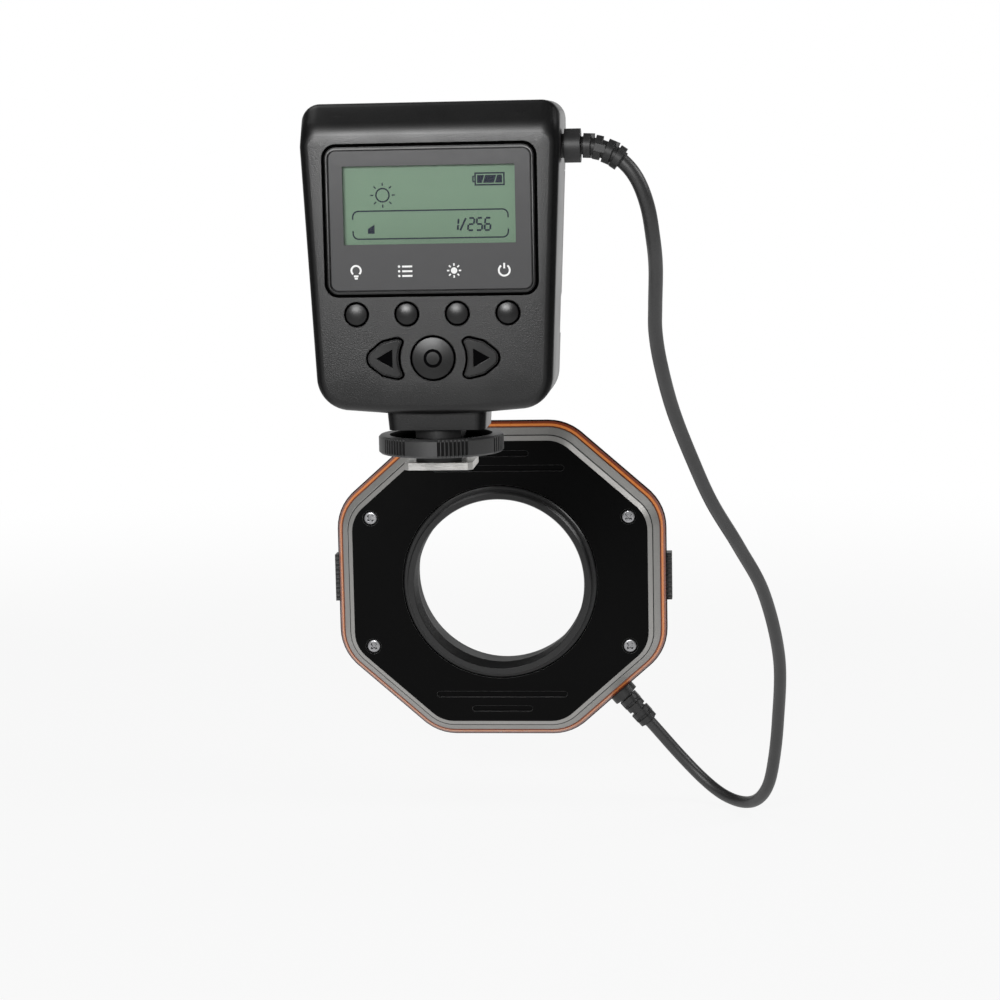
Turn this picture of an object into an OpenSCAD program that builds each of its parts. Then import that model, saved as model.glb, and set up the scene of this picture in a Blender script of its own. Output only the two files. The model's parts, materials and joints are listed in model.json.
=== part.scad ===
// Macro ring light: a controller that clamps in an accessory shoe, a cord, and a ring head for a lens thread.
// Origin: centre of the shoe foot's underside. +Z up, -Y towards the user's keys, +Y towards the subject.

/* [Controller case] */
// Width of the case at its shoulders
case_top_w = 69; // [66:0.5:74]
// Width of the case above its lower corners
case_bottom_w = 63.5; // [63:0.5:67]
// Height of the case
case_h = 82.5; // [82:0.5:90]
// Depth of the case from key face to battery face
case_d = 29; // [28.5:0.5:33]
// Height of the case's underside above the foot's underside
case_z = 15.5; // [15:0.25:18]
// How far the underside bows down at its middle
case_bow = 1.2; // [0.4:0.1:2]
// Radius of the upper corners
top_corner_r = 5; // [4:0.25:6]
// Radius of the lower corners
bottom_corner_r = 9; // [7:0.25:10]
// Rounding of the case's edges
edge_r = 2.7; // [1.5:0.1:3]
// Height of the band that leans back along the top
brow_h = 9; // [7:0.5:11]
// How far that band leans back
brow_back = 4; // [2:0.25:5]
// Wall of the two case shells
wall = 2; // [1.6:0.1:2.2]

/* [Display] */
// Width of the groove round the display, outside
bezel_w = 57; // [55:0.5:59]
// Height of the groove round the display, outside
bezel_h = 40.4; // [40:0.2:41]
// Outer corner radius of that groove
bezel_r = 3.8; // [3.4:0.1:5]
// Distance from the case's top to the groove
bezel_drop = 10.6; // [10.2:0.1:11]
// Width of the groove
groove_w = 0.83; // [0.6:0.01:0.9]
// Depth of the groove
groove_depth = 0.6; // [0.3:0.1:0.8]
// Width of the bead inside the groove
bead_w = 0.85; // [0.7:0.01:1]
// Thickness of the clear window
window_t = 1; // [0.8:0.1:1.2]
// Width of the picture area
screen_w = 45.7; // [42:0.1:47]
// Height of the picture area
screen_h = 20.6; // [18:0.1:21]
// Drop of the picture area's top below the window's top
screen_drop = 4.1; // [3:0.1:4.5]

/* [Keys] */
// Spacing of the four round keys
key_pitch = 13.45; // [13:0.05:14]
// Radius of a round key cap
key_r = 2.8; // [2.4:0.05:2.9]
// Height of the round keys above the case's underside
key_row_z = 27; // [26.6:0.1:27.2]
// Radius of the middle key cap
set_r = 5.55; // [5.2:0.05:5.7]
// Height of the lower keys above the case's underside
pad_z = 15.2; // [15:0.1:15.6]
// Gap round every cap
key_gap = 0.55; // [0.45:0.05:0.6]
// How far the caps stand out of the face
key_proud = 0.8; // [0.7:0.1:1.2]
// Travel of a key
key_travel = 0.5; // [0.3:0.1:0.5]

/* [Batteries] */
// Diameter of a cell
cell_d = 14.2; // [13.8:0.1:14.4]
// Length of a cell with its nub
cell_l = 50.5; // [49:0.1:50.5]
// Space between neighbouring cells
cell_gap = 0.4; // [0.3:0.1:0.5]
// Length of a battery spring as fitted
spring_l = 3.1; // [2.9:0.1:3.4]
// Wall of the battery door
door_t = 2; // [1.6:0.1:2.2]
// Depth of the door's sides
door_side = 5.2; // [4.6:0.1:5.6]
// Depth of the finger notches in the door's sides
notch_depth = 0.9; // [0.6:0.1:1]

/* [Shoe] */
// Width of the shoe foot
foot_w = 18.5; // [18.3:0.05:18.6]
// Length of the shoe foot
foot_l = 18; // [17.5:0.1:18.2]
// Thickness of the shoe foot
foot_t = 1.95; // [1.9:0.05:2.05]
// Width of the stem between the shoe's rails
stem_w = 12.4; // [12:0.1:12.5]
// Radius of the threaded post
post_r = 8.9; // [8.7:0.1:9.2]
// Height of the neck's underside above the foot's underside
neck_z = 11; // [10.8:0.1:11.5]
// Width of the neck at the case
neck_w = 27; // [25:0.5:28]
// Radius of the lock ring
ring_r = 17; // [16:0.25:18]
// Height of the lock ring
ring_h = 4.9; // [4.8:0.1:5]
// Height of the lock ring's underside at rest
ring_z = 4.1; // [4:0.1:4.3]
// Knurled stretches round the lock ring
knurl_groups = 6; // [4:1:6]
// Grooves in a knurled stretch
knurl_grooves = 8; // [6:1:8]

/* [Cord] */
// Diameter of the cord
cord_d = 4; // [3.4:0.1:4.4]
// Diameter of the strain reliefs' collars
collar_d = 9; // [8.4:0.1:9.4]
// Diameter of the strain reliefs' ribs
rib_d = 6.5; // [6:0.1:7]

/* [Ring head] */
// Width of the head
head_w = 112; // [111:0.5:115]
// Height of the head
head_h = 108; // [107:0.5:112]
// Length of the head's level sides between sharp corners
head_flat_w = 46; // [43:1:50]
// Length of the head's upright sides between sharp corners
head_flat_h = 50; // [47:1:54]
// Corner radius of the head
head_corner_r = 17; // [14:0.5:19]
// Depth of the head
head_d = 23; // [23:0.25:25]
// Height of the lens axis, below the foot's underside
head_drop = 60; // [58:0.5:64]
// Distance from the shoe's centre to the head's back
head_y = 160; // [150:1:170]
// Width of each bevel round the head's back, seen from behind
bevel_w = 1.95; // [1.8:0.05:2.1]
// Width of the coloured trim, seen from behind
trim_w = 2.2; // [2:0.05:2.3]
// Wall of the head's shells
head_wall = 1.8; // [1.6:0.1:2]
// Radius of the opening to the front
aperture_r = 30; // [29:0.25:30.25]
// Radius of the adapter's seat in the back
seat_r = 33; // [32.75:0.25:33.5]
// Lights in the inner circle
led_inner = 22; // [18:1:22]
// Lights in the outer circle
led_outer = 26; // [22:1:26]

/* [Lens adapter] */
// Thread radius of the lens adapter
thread_r = 31; // [30.5:0.25:31]
// Length of the thread
thread_l = 3.7; // [3:0.1:4.5]
// Radius of the adapter's opening
adapter_bore_r = 28.6; // [27.5:0.1:29]
// Travel of a release button
latch_travel = 1.6; // [1.4:0.1:1.7]

/* [Clearances] */
// Between a piece and the moving piece beside it
run_gap = 0.3; // [0.25:0.05:0.35]
// Between fixed pieces that drop into each other
fit_gap = 0.1; // [0.05:0.05:0.15]

/* [Hidden] */
$fn = 64;
HULL_FN = 24;
CASE_FN = 48;
HEAD_FN = 48;
EDGE_STEPS = 5;

// Controller: depths from the key face back
face_y = -case_d / 2;
back_y = case_d / 2;
inner_y = face_y + wall;
case_top = case_z + case_h;
lcd_t = 2.2;
backlight_t = 2.3;
board_t = 1.6;
lcd_y = inner_y + fit_gap;
backlight_y = lcd_y + lcd_t;
board_y = backlight_y + backlight_t + fit_gap;
cap_flange_t = 0.8;
flange_y = inner_y + run_gap;
flange_back_y = flange_y + cap_flange_t;

// Controller: depths from the battery face forward
cell_r = cell_d / 2;
cell_pitch = cell_d + cell_gap;
cell_room = 0.8;
cell_y = back_y - door_t - cell_room - cell_r;
floor_t = 1.2;
floor_y = cell_y - cell_r - run_gap - floor_t;
split_y = floor_y;
door_y = back_y - door_side;

// Battery bay
contact_t = 0.4;
bay_z = case_z + 6.5;
bay_h = cell_l + spring_l + 2 * contact_t + fit_gap;
bay_top = bay_z + bay_h;
bay_half_w = 2 * cell_pitch + run_gap;
door_top = bay_top + 2.8;
cell_z_up = bay_z + contact_t + spring_l;
cell_z_down = bay_z + contact_t;
nub_r = 2.6;
nub_h = 1;
spring_wire_r = 0.2;
spring_turns = 3;
spring_r = 3.4;
notch_rise = 20.5;
notch_z = case_z + notch_rise;
notch_flat = 5.3;
notch_ramp = 3.4;
notch_step = 1.2;
pocket_x = 15;
pocket_w = 12;

// Display
bezel_z = case_top - bezel_drop - bezel_h / 2;
rim_w = bezel_w - 2 * groove_w;
rim_h = bezel_h - 2 * groove_w;
recess_w = rim_w - 2 * bead_w;
recess_h = rim_h - 2 * bead_w;
recess_r = bezel_r - groove_w - bead_w;
recess_depth = window_t + 0.2;
window_w = recess_w - 2 * fit_gap;
window_h = recess_h - 2 * fit_gap;
screen_z = bezel_z + window_h / 2 - screen_drop - screen_h / 2;
opening_margin = 0.9;
glass_margin = 2.2;

// Keys: a place [x, z] for each round key, and the lower pad
key_z = case_z + key_row_z;
KEY_X = [for (i = [-1.5 : 1 : 1.5]) i * key_pitch];
set_z = case_z + pad_z;
cap_flange = 1.4;
arrow_inner_r = set_r + 3.7;
arrow_tip_x = 14.8;
arrow_tip_r = 2.6;
arrow_corner_x = 9.6;
arrow_corner_z = 3.5;
arrow_corner_r = 1.7;
arrow_side_x = 12.4;
arrow_side_z = 1.9;
arrow_soft_r = 0.6;
mark_x = 13;
mark_w = 4.4;
mark_h = 5;
mark_depth = 0.35;
switch_w = 6;
switch_t = 2.5;
plunger_r = 1.7;

// Screws: places [x, z] in the case
screw_r = 1.1;
head_r = 2.2;
head_t = 1.3;
sink_r = head_r + 0.4;
boss_r = 2.8;
top_screw_x = 24;
top_screw_drop = 6;
low_screw_rise = 2.5;
top_screw = [top_screw_x, case_top - top_screw_drop];
low_screw = [bay_half_w - head_r - run_gap, bay_z + low_screw_rise];
boss_lap = 1;
board_side_top = 4.5;
board_side_bottom = 4.25;
board_rise = 7.5;
post_rise = 9.5;
board_w_top = case_top_w - 2 * board_side_top;
board_w_bottom = case_bottom_w - 2 * board_side_bottom;
board_z = case_z + board_rise;
stud_r = 2;
post_margin = 2.5;
post_low = [board_w_bottom / 2 - post_margin, key_z + post_rise];
post_high = [board_w_top / 2 - post_margin, screen_z + screen_h / 2 + glass_margin + stud_r + run_gap];
board_top = post_high[1] + post_margin;
BOARD_POSTS = [for (s = [-1, 1]) for (p = [post_low, post_high]) [s * p[0], p[1]]];
CASE_SCREWS = [for (s = [-1, 1]) for (p = [top_screw, low_screw]) [s * p[0], p[1]]];

// Shoe
neck_seat = case_z + 1.1;
neck_front = -11;
neck_back = door_y - run_gap;
neck_corner_r = 3;
neck_draft = 0.4;
post_top = neck_z;
ring_web_t = 1.6;
plate_t = 0.7;
plate_r = 13;
plate_recess = plate_t + 0.1;
ring_wall = 3;
ring_bore_r = post_r + 0.1;
hub_r = ring_bore_r + 1.6;
knurl_r = 0.42;
knurl_turn = 17;
knurl_step = 3.7;
insulator_r = 3.5;
pin_r = 1.2;
pin_collar_r = 1.9;
pin_collar_t = 0.8;
pin_proud = 0.8;
pin_bore_r = 2.2;
pin_bore_top = 9.2;
contact_wire_r = 0.22;
contact_turns = 5;
FOOT_SCREWS = [for (x = [-1, 1]) for (y = [-1, 1]) [x * stem_w / 3, y * foot_l / 3.2]];
foot_screw_r = 0.8;
foot_screw_head = 1.5;
foot_screw_cone = 0.7;
foot_screw_l = 4.6;
NECK_SCREWS = [for (s = [-1, 1]) [s * 3.8, 2.5]];
neck_screw_tip = 6;

// Strain reliefs and cord
gland_drop = 12.2;
gland_z = case_top - gland_drop;
gland_x = case_half_w(gland_z);
gland_neck_r = 3.2;
collar_l = 4.2;
tail_l = 12;
tail_bend = 42;
tail_ribs = 4;
tail_core_r = 2.4;
rib_l = 1.9;
first_rib = 0.25;
bridge_w = 2.2;
arc_r = tail_l * 180 / (PI * tail_bend);
arc_x = gland_x + 0.8 + collar_l;
tail_end = [arc_x + arc_r * sin(tail_bend), split_y, gland_z - arc_r * (1 - cos(tail_bend))];
tail_dir = [cos(tail_bend), 0, -sin(tail_bend)];
// Points that the cord passes between its two strain reliefs, chosen by eye
ROUTE = [[54.2, -3.8, 76.7], [56.8, -2.4, 69.6], [58, 1.6, 61.4], [58.5, 8, 53], [58, 16, 42], [57.8, 22, 34],
    [59, 29.5, 24], [62, 41, 10], [67, 54, -5.5], [72.5, 66, -20], [80.5, 81, -36], [88, 96, -53],
    [92.8, 114, -77], [92.5, 130, -101], [91, 140, -118], [89, 147, -127.5], [85.5, 154, -133.5],
    [80.5, 161.2, -136], [74.3, 167.2, -135], [67.6, 171.2, -130.6], [59.5, 173, -122.5]];
CORD_SIDES = 10;
CORD_STEPS = 2;
SWEEP_UP = [0.7, -0.7, 0.1];

// Head: depths measured from the head's back
head_z = -head_drop;
skin = 0.05;
seam_y = 2;
bevel_rise = 2.8;
bevel_2_y = seam_y + bevel_rise;
trim_seat = 0.2;
trim_y = bevel_2_y + trim_seat;
trim_l = 3;
trim_back_y = trim_y + trim_l;
inset_back = trim_w + 2 * bevel_w;
inset_seam = trim_w + bevel_w;
cover_t = 2.2;
housing_inset = inset_seam + head_wall;
nose_r = 1.6;
lip_l = 0.8;
lip_y = trim_back_y + lip_l;
front_draft = 1.8;
front_wall = head_wall + front_draft;
trim_step = 0.35;
board_ring_t = 1.6;
window_ring_t = 1.7;
front_y = head_d;
nose_y = front_y - nose_r;
window_sink = 0.3;
window_ring_y = front_y - window_ring_t - window_sink;
ledge_t = 1.9;
led_board_y = window_ring_y - ledge_t - board_ring_t - fit_gap;
light_rim = 5.4;
light_r = min(head_w, head_h) / 2 - light_rim;
ledge_w = 1.6;
ledge_r = light_r - ledge_w;
tube_wall = 2;
tube_r = aperture_r + tube_wall;
seat_tube_r = seat_r + head_wall;
seat_d = 7.5;
web_t = 1.5;
led_base_r = 2.4;
led_base_t = 0.7;
led_dome_r = 1.8;
led_dome_sink = 0.6;
led_inner_margin = 3.2;
led_outer_margin = 3.2;
led_inner_r = tube_r + led_inner_margin;
led_outer_r = ledge_r - led_outer_margin;
vent_h = 2;
vent_depth = 0.9;
vent_1_l = 20.6;
vent_1_drop = 10.4;
vent_2_l = 44.4;
vent_2_drop = 15.4;
VENTS = [[vent_1_l, head_h / 2 - vent_1_drop], [vent_2_l, head_h / 2 - vent_2_drop]];
head_boss_r = 2.7;
head_boss_margin = 3.8;
head_screw_x = head_w / 2 - housing_inset - head_boss_r - head_boss_margin;
head_screw_drop = 3;
head_screw_z = head_flat_h / 2 - head_screw_drop;
HEAD_SCREWS = [for (x = [-1, 1]) for (z = [-1, 1]) [x * head_screw_x, z * head_screw_z]];

// Release latches: two flat yokes that cross round the seat, each with a button on one side and a claw
// on the other
yoke_t = 1.4;
yoke_y_left = cover_t + 0.5;
yoke_y_right = yoke_y_left + yoke_t + run_gap;
yoke_in_r = seat_tube_r + 0.4;
yoke_out_r = yoke_in_r + 3.4;
claw_w = 11;
claw_cut = 3;
claw_tip_r = thread_r + 0.4;
groove_y0 = yoke_y_left - run_gap;
groove_y1 = yoke_y_right + yoke_t + run_gap;
flange_r = seat_r - run_gap;
button_w = 16;
button_drop = 2.2;
button_h = 5.6;
button_y0 = trim_back_y + button_drop;
button_y1 = button_y0 + button_h;
button_proud = 1.6;
web_x = head_w / 2 - housing_inset - 1.9;
yoke_web_t = 1.5;
arm_z = 4;
spring_room = 6;
stop_x = web_x - yoke_web_t - spring_room;
stop_w = 5.5;
latch_spring_r = 1.7;
latch_wire_r = 0.25;
latch_turns = 4;

function case_half_w(z) = let (low = case_z + case_bow + bottom_corner_r, high = case_top - brow_h,
    t = (z - low) / (high - low)) (case_bottom_w + (case_top_w - case_bottom_w) * t) / 2;

// Generic shapes
module slab(y0, y1) {
    translate([0, y1, 0]) rotate([90, 0, 0]) linear_extrude(y1 - y0) children();
}

module rod_y(p, r, y0, y1) {
    translate([p[0], y1, p[1]]) rotate([90, 0, 0]) cylinder(r = r, h = y1 - y0);
}

module turned_y(points) {
    rotate([-90, 0, 0]) rotate_extrude() polygon(points);
}

module rounded_rect(w, h, r) {
    square([w - 2 * r, h], center = true);
    square([w, h - 2 * r], center = true);
    for (x = [-1, 1]) for (z = [-1, 1]) translate([x * (w / 2 - r), z * (h / 2 - r)]) circle(r);
}

module on_display(y0, y1, z = bezel_z) {
    translate([0, 0, z]) slab(y0, y1) children();
}

// A coil spring that stands on the XY plane, one unbroken wire
module coil(r, wire_r, length, turns) {
    sides = 6;
    per_turn = 8;
    last = turns * per_turn;
    points = [for (i = [0 : last]) let (a = 360 * i / per_turn, z = wire_r + (length - 2 * wire_r) * i / last)
        for (k = [0 : sides - 1]) let (b = 360 * k / sides, d = r + wire_r * cos(b))
            [d * cos(a), d * sin(a), z + wire_r * sin(b)]];
    tube_solid(points, sides, last);
}

// Closes rings of points into one solid of triangles
module tube_solid(points, sides, last) {
    walls = [for (i = [0 : last - 1]) for (k = [0 : sides - 1])
        let (a = i * sides + k, b = i * sides + (k + 1) % sides)
        each [[a, a + sides, b], [b, a + sides, b + sides]]];
    start = [for (k = [1 : sides - 2]) [0, k, k + 1]];
    end = [for (k = [1 : sides - 2]) let (o = last * sides) [o, o + k + 1, o + k]];
    polyhedron(points, concat(walls, start, end));
}

// Controller case
module case_pill(x, z, r, y0, y1, e, steps) {
    arc = [for (i = [0 : steps]) 90 * i / steps];
    profile = concat([[0, y0]], [for (a = arc) [r - e + e * sin(a), y0 + e - e * cos(a)]],
        [for (a = arc) [r - e + e * cos(a), y1 - e + e * sin(a)]], [[0, y1]]);
    translate([x, 0, z]) rotate([-90, 0, 0]) rotate_extrude() polygon(profile);
}

// The outer form of the case, or a plainer form inset from it by one wall
module case_form(inset = 0) {
    steps = inset > 0 ? 1 : EDGE_STEPS;
    e = max(edge_r - inset, 0.5);
    y0 = face_y + inset;
    y1 = back_y - inset;
    rt = top_corner_r - inset;
    rb = bottom_corner_r - inset;
    low_x = case_bottom_w / 2 - bottom_corner_r;
    high_x = case_top_w / 2 - top_corner_r;
    shoulder_z = case_top - brow_h;
    hull($fn = inset > 0 ? HULL_FN : CASE_FN) {
        for (t = [-1 : 0.5 : 1])
            case_pill(t * low_x, case_z + case_bow * t * t + bottom_corner_r, rb, y0, y1, e, steps);
        for (s = [-1, 1]) {
            case_pill(s * high_x, shoulder_z - top_corner_r + edge_r, rt, y0, y1, e, steps);
            case_pill(s * high_x, case_top - top_corner_r, rt, y0 + brow_back, y1, e, steps);
        }
    }
}

module between_y(y0, y1) {
    intersection() {
        children();
        translate([-case_top_w, y0, 0]) cube([2 * case_top_w, y1 - y0, 2 * case_top]);
    }
}

module door_zone(gap) {
    translate([-case_top_w, door_y + gap, 0]) cube([2 * case_top_w, case_d, door_top - gap]);
}

module neck_pocket() {
    translate([-neck_w / 2 - fit_gap, neck_front - fit_gap, 0])
        cube([neck_w + 2 * fit_gap, neck_back - neck_front + 2 * fit_gap, neck_seat]);
}

module gland_hole() {
    translate([0, split_y, gland_z]) rotate([0, 90, 0]) cylinder(r = gland_neck_r + fit_gap, h = case_top_w);
}

module arrow_outline(grow) {
    offset(r = grow + arrow_soft_r, $fn = HULL_FN) offset(delta = -arrow_soft_r) difference() {
        hull() {
            translate([arrow_tip_x, 0]) circle(arrow_tip_r, $fn = HULL_FN);
            for (s = [-1, 1]) {
                translate([arrow_corner_x, s * arrow_corner_z]) circle(arrow_corner_r, $fn = HULL_FN);
                translate([arrow_side_x, s * arrow_side_z]) circle(arrow_tip_r, $fn = HULL_FN);
            }
        }
        circle(arrow_inner_r, $fn = 3 * HULL_FN);
    }
}

module bead() {
    r = bead_w / 2;
    w = rim_w / 2 - r;
    h = rim_h / 2 - r;
    turn_r = bezel_r - groove_w - r;
    translate([0, face_y + r / 2, bezel_z]) {
        for (s = [-1, 1]) {
            translate([turn_r - w, 0, s * h]) rotate([0, 90, 0]) cylinder(r = r, h = 2 * (w - turn_r));
            translate([s * w, 0, turn_r - h]) cylinder(r = r, h = 2 * (h - turn_r));
        }
        for (i = [0 : 3]) {
            x = (i == 0 || i == 3) ? w - turn_r : turn_r - w;
            z = i < 2 ? h - turn_r : turn_r - h;
            translate([x, 0, z]) rotate([90, 0, 0]) rotate([0, 0, 90 * i])
                rotate_extrude(angle = 90) translate([turn_r, 0]) circle(r);
        }
    }
}

module panel_shell() {
    color("#3a3a3c") difference() {
        union() {
            difference() {
                between_y(face_y - 1, split_y) case_form();
                between_y(face_y - 1, split_y + 1) case_form(wall);
            }
            bead();
            for (p = CASE_SCREWS)
                rod_y(p, boss_r, inner_y + (p[1] > bezel_z ? boss_lap : -boss_lap / 2), split_y);
            for (p = BOARD_POSTS) rod_y(p, stud_r, inner_y - boss_lap / 2, board_y);
            translate([-neck_w / 2 - wall, neck_front - fit_gap, neck_seat])
                cube([neck_w + 2 * wall, split_y - neck_front + fit_gap, wall]);
        }
        on_display(face_y - 1, face_y + groove_depth) difference() {
            rounded_rect(bezel_w, bezel_h, bezel_r);
            rounded_rect(rim_w, rim_h, bezel_r - groove_w);
        }
        on_display(face_y - 1, face_y + recess_depth) rounded_rect(recess_w, recess_h, recess_r);
        on_display(face_y, inner_y + 1, screen_z)
            square([screen_w + 2 * opening_margin, screen_h + 2 * opening_margin], center = true);
        for (x = KEY_X) rod_y([x, key_z], key_r + key_gap, face_y - 1, inner_y + 1);
        rod_y([0, set_z], set_r + key_gap, face_y - 1, inner_y + 1);
        for (s = [0, 1]) translate([0, 0, set_z]) mirror([s, 0, 0])
            slab(face_y - 1, inner_y + 1) arrow_outline(key_gap);
        for (p = CASE_SCREWS) rod_y(p, screw_r, inner_y + boss_lap + wall, split_y + 1);
        for (p = BOARD_POSTS) rod_y(p, 0.8, inner_y + 1, board_y + 1);
        gland_hole();
        neck_pocket();
    }
}

module battery_shell() {
    color("#2c2c2e") difference() {
        union() {
            difference() {
                between_y(split_y, back_y + 1) case_form();
                intersection() {
                    case_form(wall);
                    translate([-case_top_w, split_y - 1, door_top + wall])
                        cube([2 * case_top_w, case_d, case_h]);
                }
            }
            for (s = [-1, 1]) rod_y([s * top_screw[0], top_screw[1]], sink_r + 1, split_y, back_y - 1);
        }
        difference() {
            door_zone(0);
            translate([-case_top_w, door_y - 1, 0]) cube([2 * case_top_w, 1, case_top]);
        }
        translate([-bay_half_w, floor_y + floor_t, bay_z]) cube([2 * bay_half_w, case_d, bay_h]);
        for (s = [-1, 1]) {
            rod_y([s * top_screw[0], top_screw[1]], sink_r, split_y + 4, back_y + 1);
            rod_y([s * top_screw[0], top_screw[1]], screw_r + 0.2, split_y - 1, split_y + 5);
            rod_y([s * low_screw[0], low_screw[1]], screw_r + 0.2, split_y - 1, split_y + 5);
            translate([s * (pocket_x + pocket_w / 2) - pocket_w / 2, split_y - 1, case_z + 2.6])
                cube([pocket_w, neck_back - split_y - 1, bay_z - case_z - 4.4]);
        }
        for (p = NECK_SCREWS) translate([p[0], p[1], 0]) {
            cylinder(r = screw_r + 0.2, h = bay_z + 1);
            translate([0, 0, bay_z - head_t - 0.2]) cylinder(r = sink_r, h = 3);
        }
        gland_hole();
        neck_pocket();
    }
}

module battery_door() {
    color("#2a2a2c") difference() {
        intersection() {
            case_form();
            door_zone(run_gap);
        }
        difference() {
            case_form(door_t - 0.4);
            translate([-case_top_w, back_y - door_t, 0]) cube([2 * case_top_w, case_d, case_top]);
        }
        translate([-bay_half_w, door_y - 1, door_top - wall - 1])
            cube([2 * bay_half_w, back_y - door_t - door_y + 1, wall + 2]);
        for (s = [0, 1]) mirror([s, 0, 0]) slab(door_y, back_y + 1) polygon([
            [case_half_w(notch_z) - notch_depth, notch_z],
            [case_half_w(notch_z) + 1, notch_z - notch_step * (1 + 1 / notch_depth)],
            [case_half_w(notch_z) + 1, notch_z + notch_flat + notch_ramp * (1 + 1 / notch_depth)],
            [case_half_w(notch_z + notch_flat) - notch_depth, notch_z + notch_flat]]);
    }
}

module display_window() {
    color("#5a5a5c") on_display(face_y + 0.1, face_y + 0.1 + window_t)
        rounded_rect(window_w, window_h, recess_r - fit_gap);
}

module lcd_panel() {
    color("#7a9880") on_display(lcd_y, lcd_y + lcd_t, screen_z)
        square([screen_w + 2 * glass_margin, screen_h + 2 * glass_margin], center = true);
}

module lcd_backlight() {
    color("white") on_display(backlight_y, backlight_y + backlight_t, screen_z)
        square([screen_w + 2 * glass_margin, screen_h + 2 * glass_margin], center = true);
}

module main_board() {
    color("darkgreen") difference() {
        slab(board_y, board_y + board_t)
            polygon([[-board_w_bottom / 2, board_z], [board_w_bottom / 2, board_z],
            [board_w_top / 2, board_top], [-board_w_top / 2, board_top]]);
        for (p = BOARD_POSTS) rod_y(p, 1, board_y - 1, board_y + board_t + 1);
        for (p = CASE_SCREWS) rod_y(p, boss_r + 0.4, board_y - 1, board_y + board_t + 1);
    }
}

module tact_switches() {
    top = flange_back_y + key_travel + 0.1;
    places = concat([for (x = KEY_X) [x, key_z]], [for (x = [-mark_x, 0, mark_x]) [x, set_z]]);
    color("#222222") for (p = places) {
        translate([p[0], 0, p[1]]) slab(board_y - switch_t, board_y) square(switch_w, center = true);
        rod_y(p, plunger_r, top, board_y - switch_t);
    }
}

// A round key: a domed cap through the panel and a flange behind it
module round_key(p, r) {
    dome_r = (r * r + key_proud * key_proud) / (2 * key_proud);
    crown = key_proud * 0.6;
    color("#4a4a4c") {
        intersection() {
            rod_y(p, r, face_y - key_proud - 1, flange_y);
            translate([p[0], face_y - key_proud + dome_r / crown * key_proud, p[1]])
                sphere(dome_r / crown * key_proud, $fn = 96);
        }
        rod_y(p, r, face_y + key_gap, flange_y);
        rod_y(p, r + cap_flange, flange_y, flange_back_y);
    }
}

module lamp_key() {
    round_key([KEY_X[0], key_z], key_r);
}

module mode_key() {
    round_key([KEY_X[1], key_z], key_r);
}

module level_key() {
    round_key([KEY_X[2], key_z], key_r);
}

module power_key() {
    round_key([KEY_X[3], key_z], key_r);
}

module set_key() {
    round_key([0, set_z], set_r);
}

module arrow_key() {
    color("#4a4a4c") translate([0, 0, set_z]) difference() {
        union() {
            slab(face_y - key_proud, face_y - key_proud / 2) arrow_outline(-key_proud / 2);
            slab(face_y - key_proud / 2, flange_y) arrow_outline(0);
            slab(flange_y, flange_back_y) arrow_outline(cap_flange / 2);
        }
        slab(face_y - key_proud - 1, face_y - key_proud + mark_depth)
            polygon([[mark_x + mark_w / 2, 0], [mark_x - mark_w / 2, mark_h / 2],
                [mark_x - mark_w / 2, -mark_h / 2]]);
    }
}

module left_key() {
    mirror([1, 0, 0]) arrow_key();
}

module right_key() {
    arrow_key();
}

module case_screws() {
    color("silver") for (s = [-1, 1]) {
        rod_y([s * top_screw[0], top_screw[1]], screw_r, inner_y + boss_lap + wall + 1, split_y + 4);
        rod_y([s * top_screw[0], top_screw[1]], head_r, split_y + 4, split_y + 4 + head_t);
        rod_y([s * low_screw[0], low_screw[1]], screw_r, inner_y + boss_lap + wall + 1, floor_y + floor_t);
        rod_y([s * low_screw[0], low_screw[1]], head_r, floor_y + floor_t, floor_y + floor_t + head_t / 2);
    }
}

module board_screws() {
    color("silver") for (p = BOARD_POSTS) {
        rod_y(p, 0.75, inner_y + 2, board_y + board_t);
        rod_y(p, 1.6, board_y + board_t, board_y + board_t + 0.9);
    }
}

// One cell: nub up or down, in the slot counted from the left
module cell(slot, up) {
    x = (slot - 2.5) * cell_pitch;
    body_l = cell_l - nub_h;
    color("#b58a3a") translate([x, cell_y, up ? cell_z_up : cell_z_down + cell_l]) mirror([0, 0, up ? 0 : 1]) {
        rotate_extrude() polygon([[0, 0], [cell_r - 0.6, 0], [cell_r, 0.6], [cell_r, body_l - 0.8],
            [cell_r - 0.8, body_l], [nub_r, body_l], [nub_r, cell_l - 0.3], [nub_r - 0.3, cell_l],
            [0, cell_l]]);
    }
}

module battery_1() {
    cell(1, true);
}

module battery_2() {
    cell(2, false);
}

module battery_3() {
    cell(3, true);
}

module battery_4() {
    cell(4, false);
}

module contact_plate(first, last, z) {
    margin = 2;
    x0 = (first - 3) * cell_pitch + margin;
    x1 = (last - 2) * cell_pitch - margin;
    translate([x0, floor_y + floor_t + 1, z]) cube([x1 - x0, door_y - floor_y - floor_t - 2, contact_t]);
}

module battery_contacts() {
    color("silver") {
        contact_plate(1, 2, bay_z);
        contact_plate(3, 4, bay_z);
        contact_plate(1, 1, bay_top - contact_t);
        contact_plate(2, 3, bay_top - contact_t);
        contact_plate(4, 4, bay_top - contact_t);
    }
}

module battery_springs() {
    color("silver") for (slot = [1 : 4]) {
        z = slot % 2 == 1 ? bay_z + contact_t : bay_top - contact_t - spring_l;
        translate([(slot - 2.5) * cell_pitch, cell_y, z])
            coil(spring_r, spring_wire_r, spring_l, spring_turns);
    }
}

// Shoe
module neck_plate(draft) {
    translate([0, (neck_front + neck_back) / 2, 0])
        rounded_rect(neck_w - 2 * draft, neck_back - neck_front - 2 * draft, neck_corner_r);
}

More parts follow.
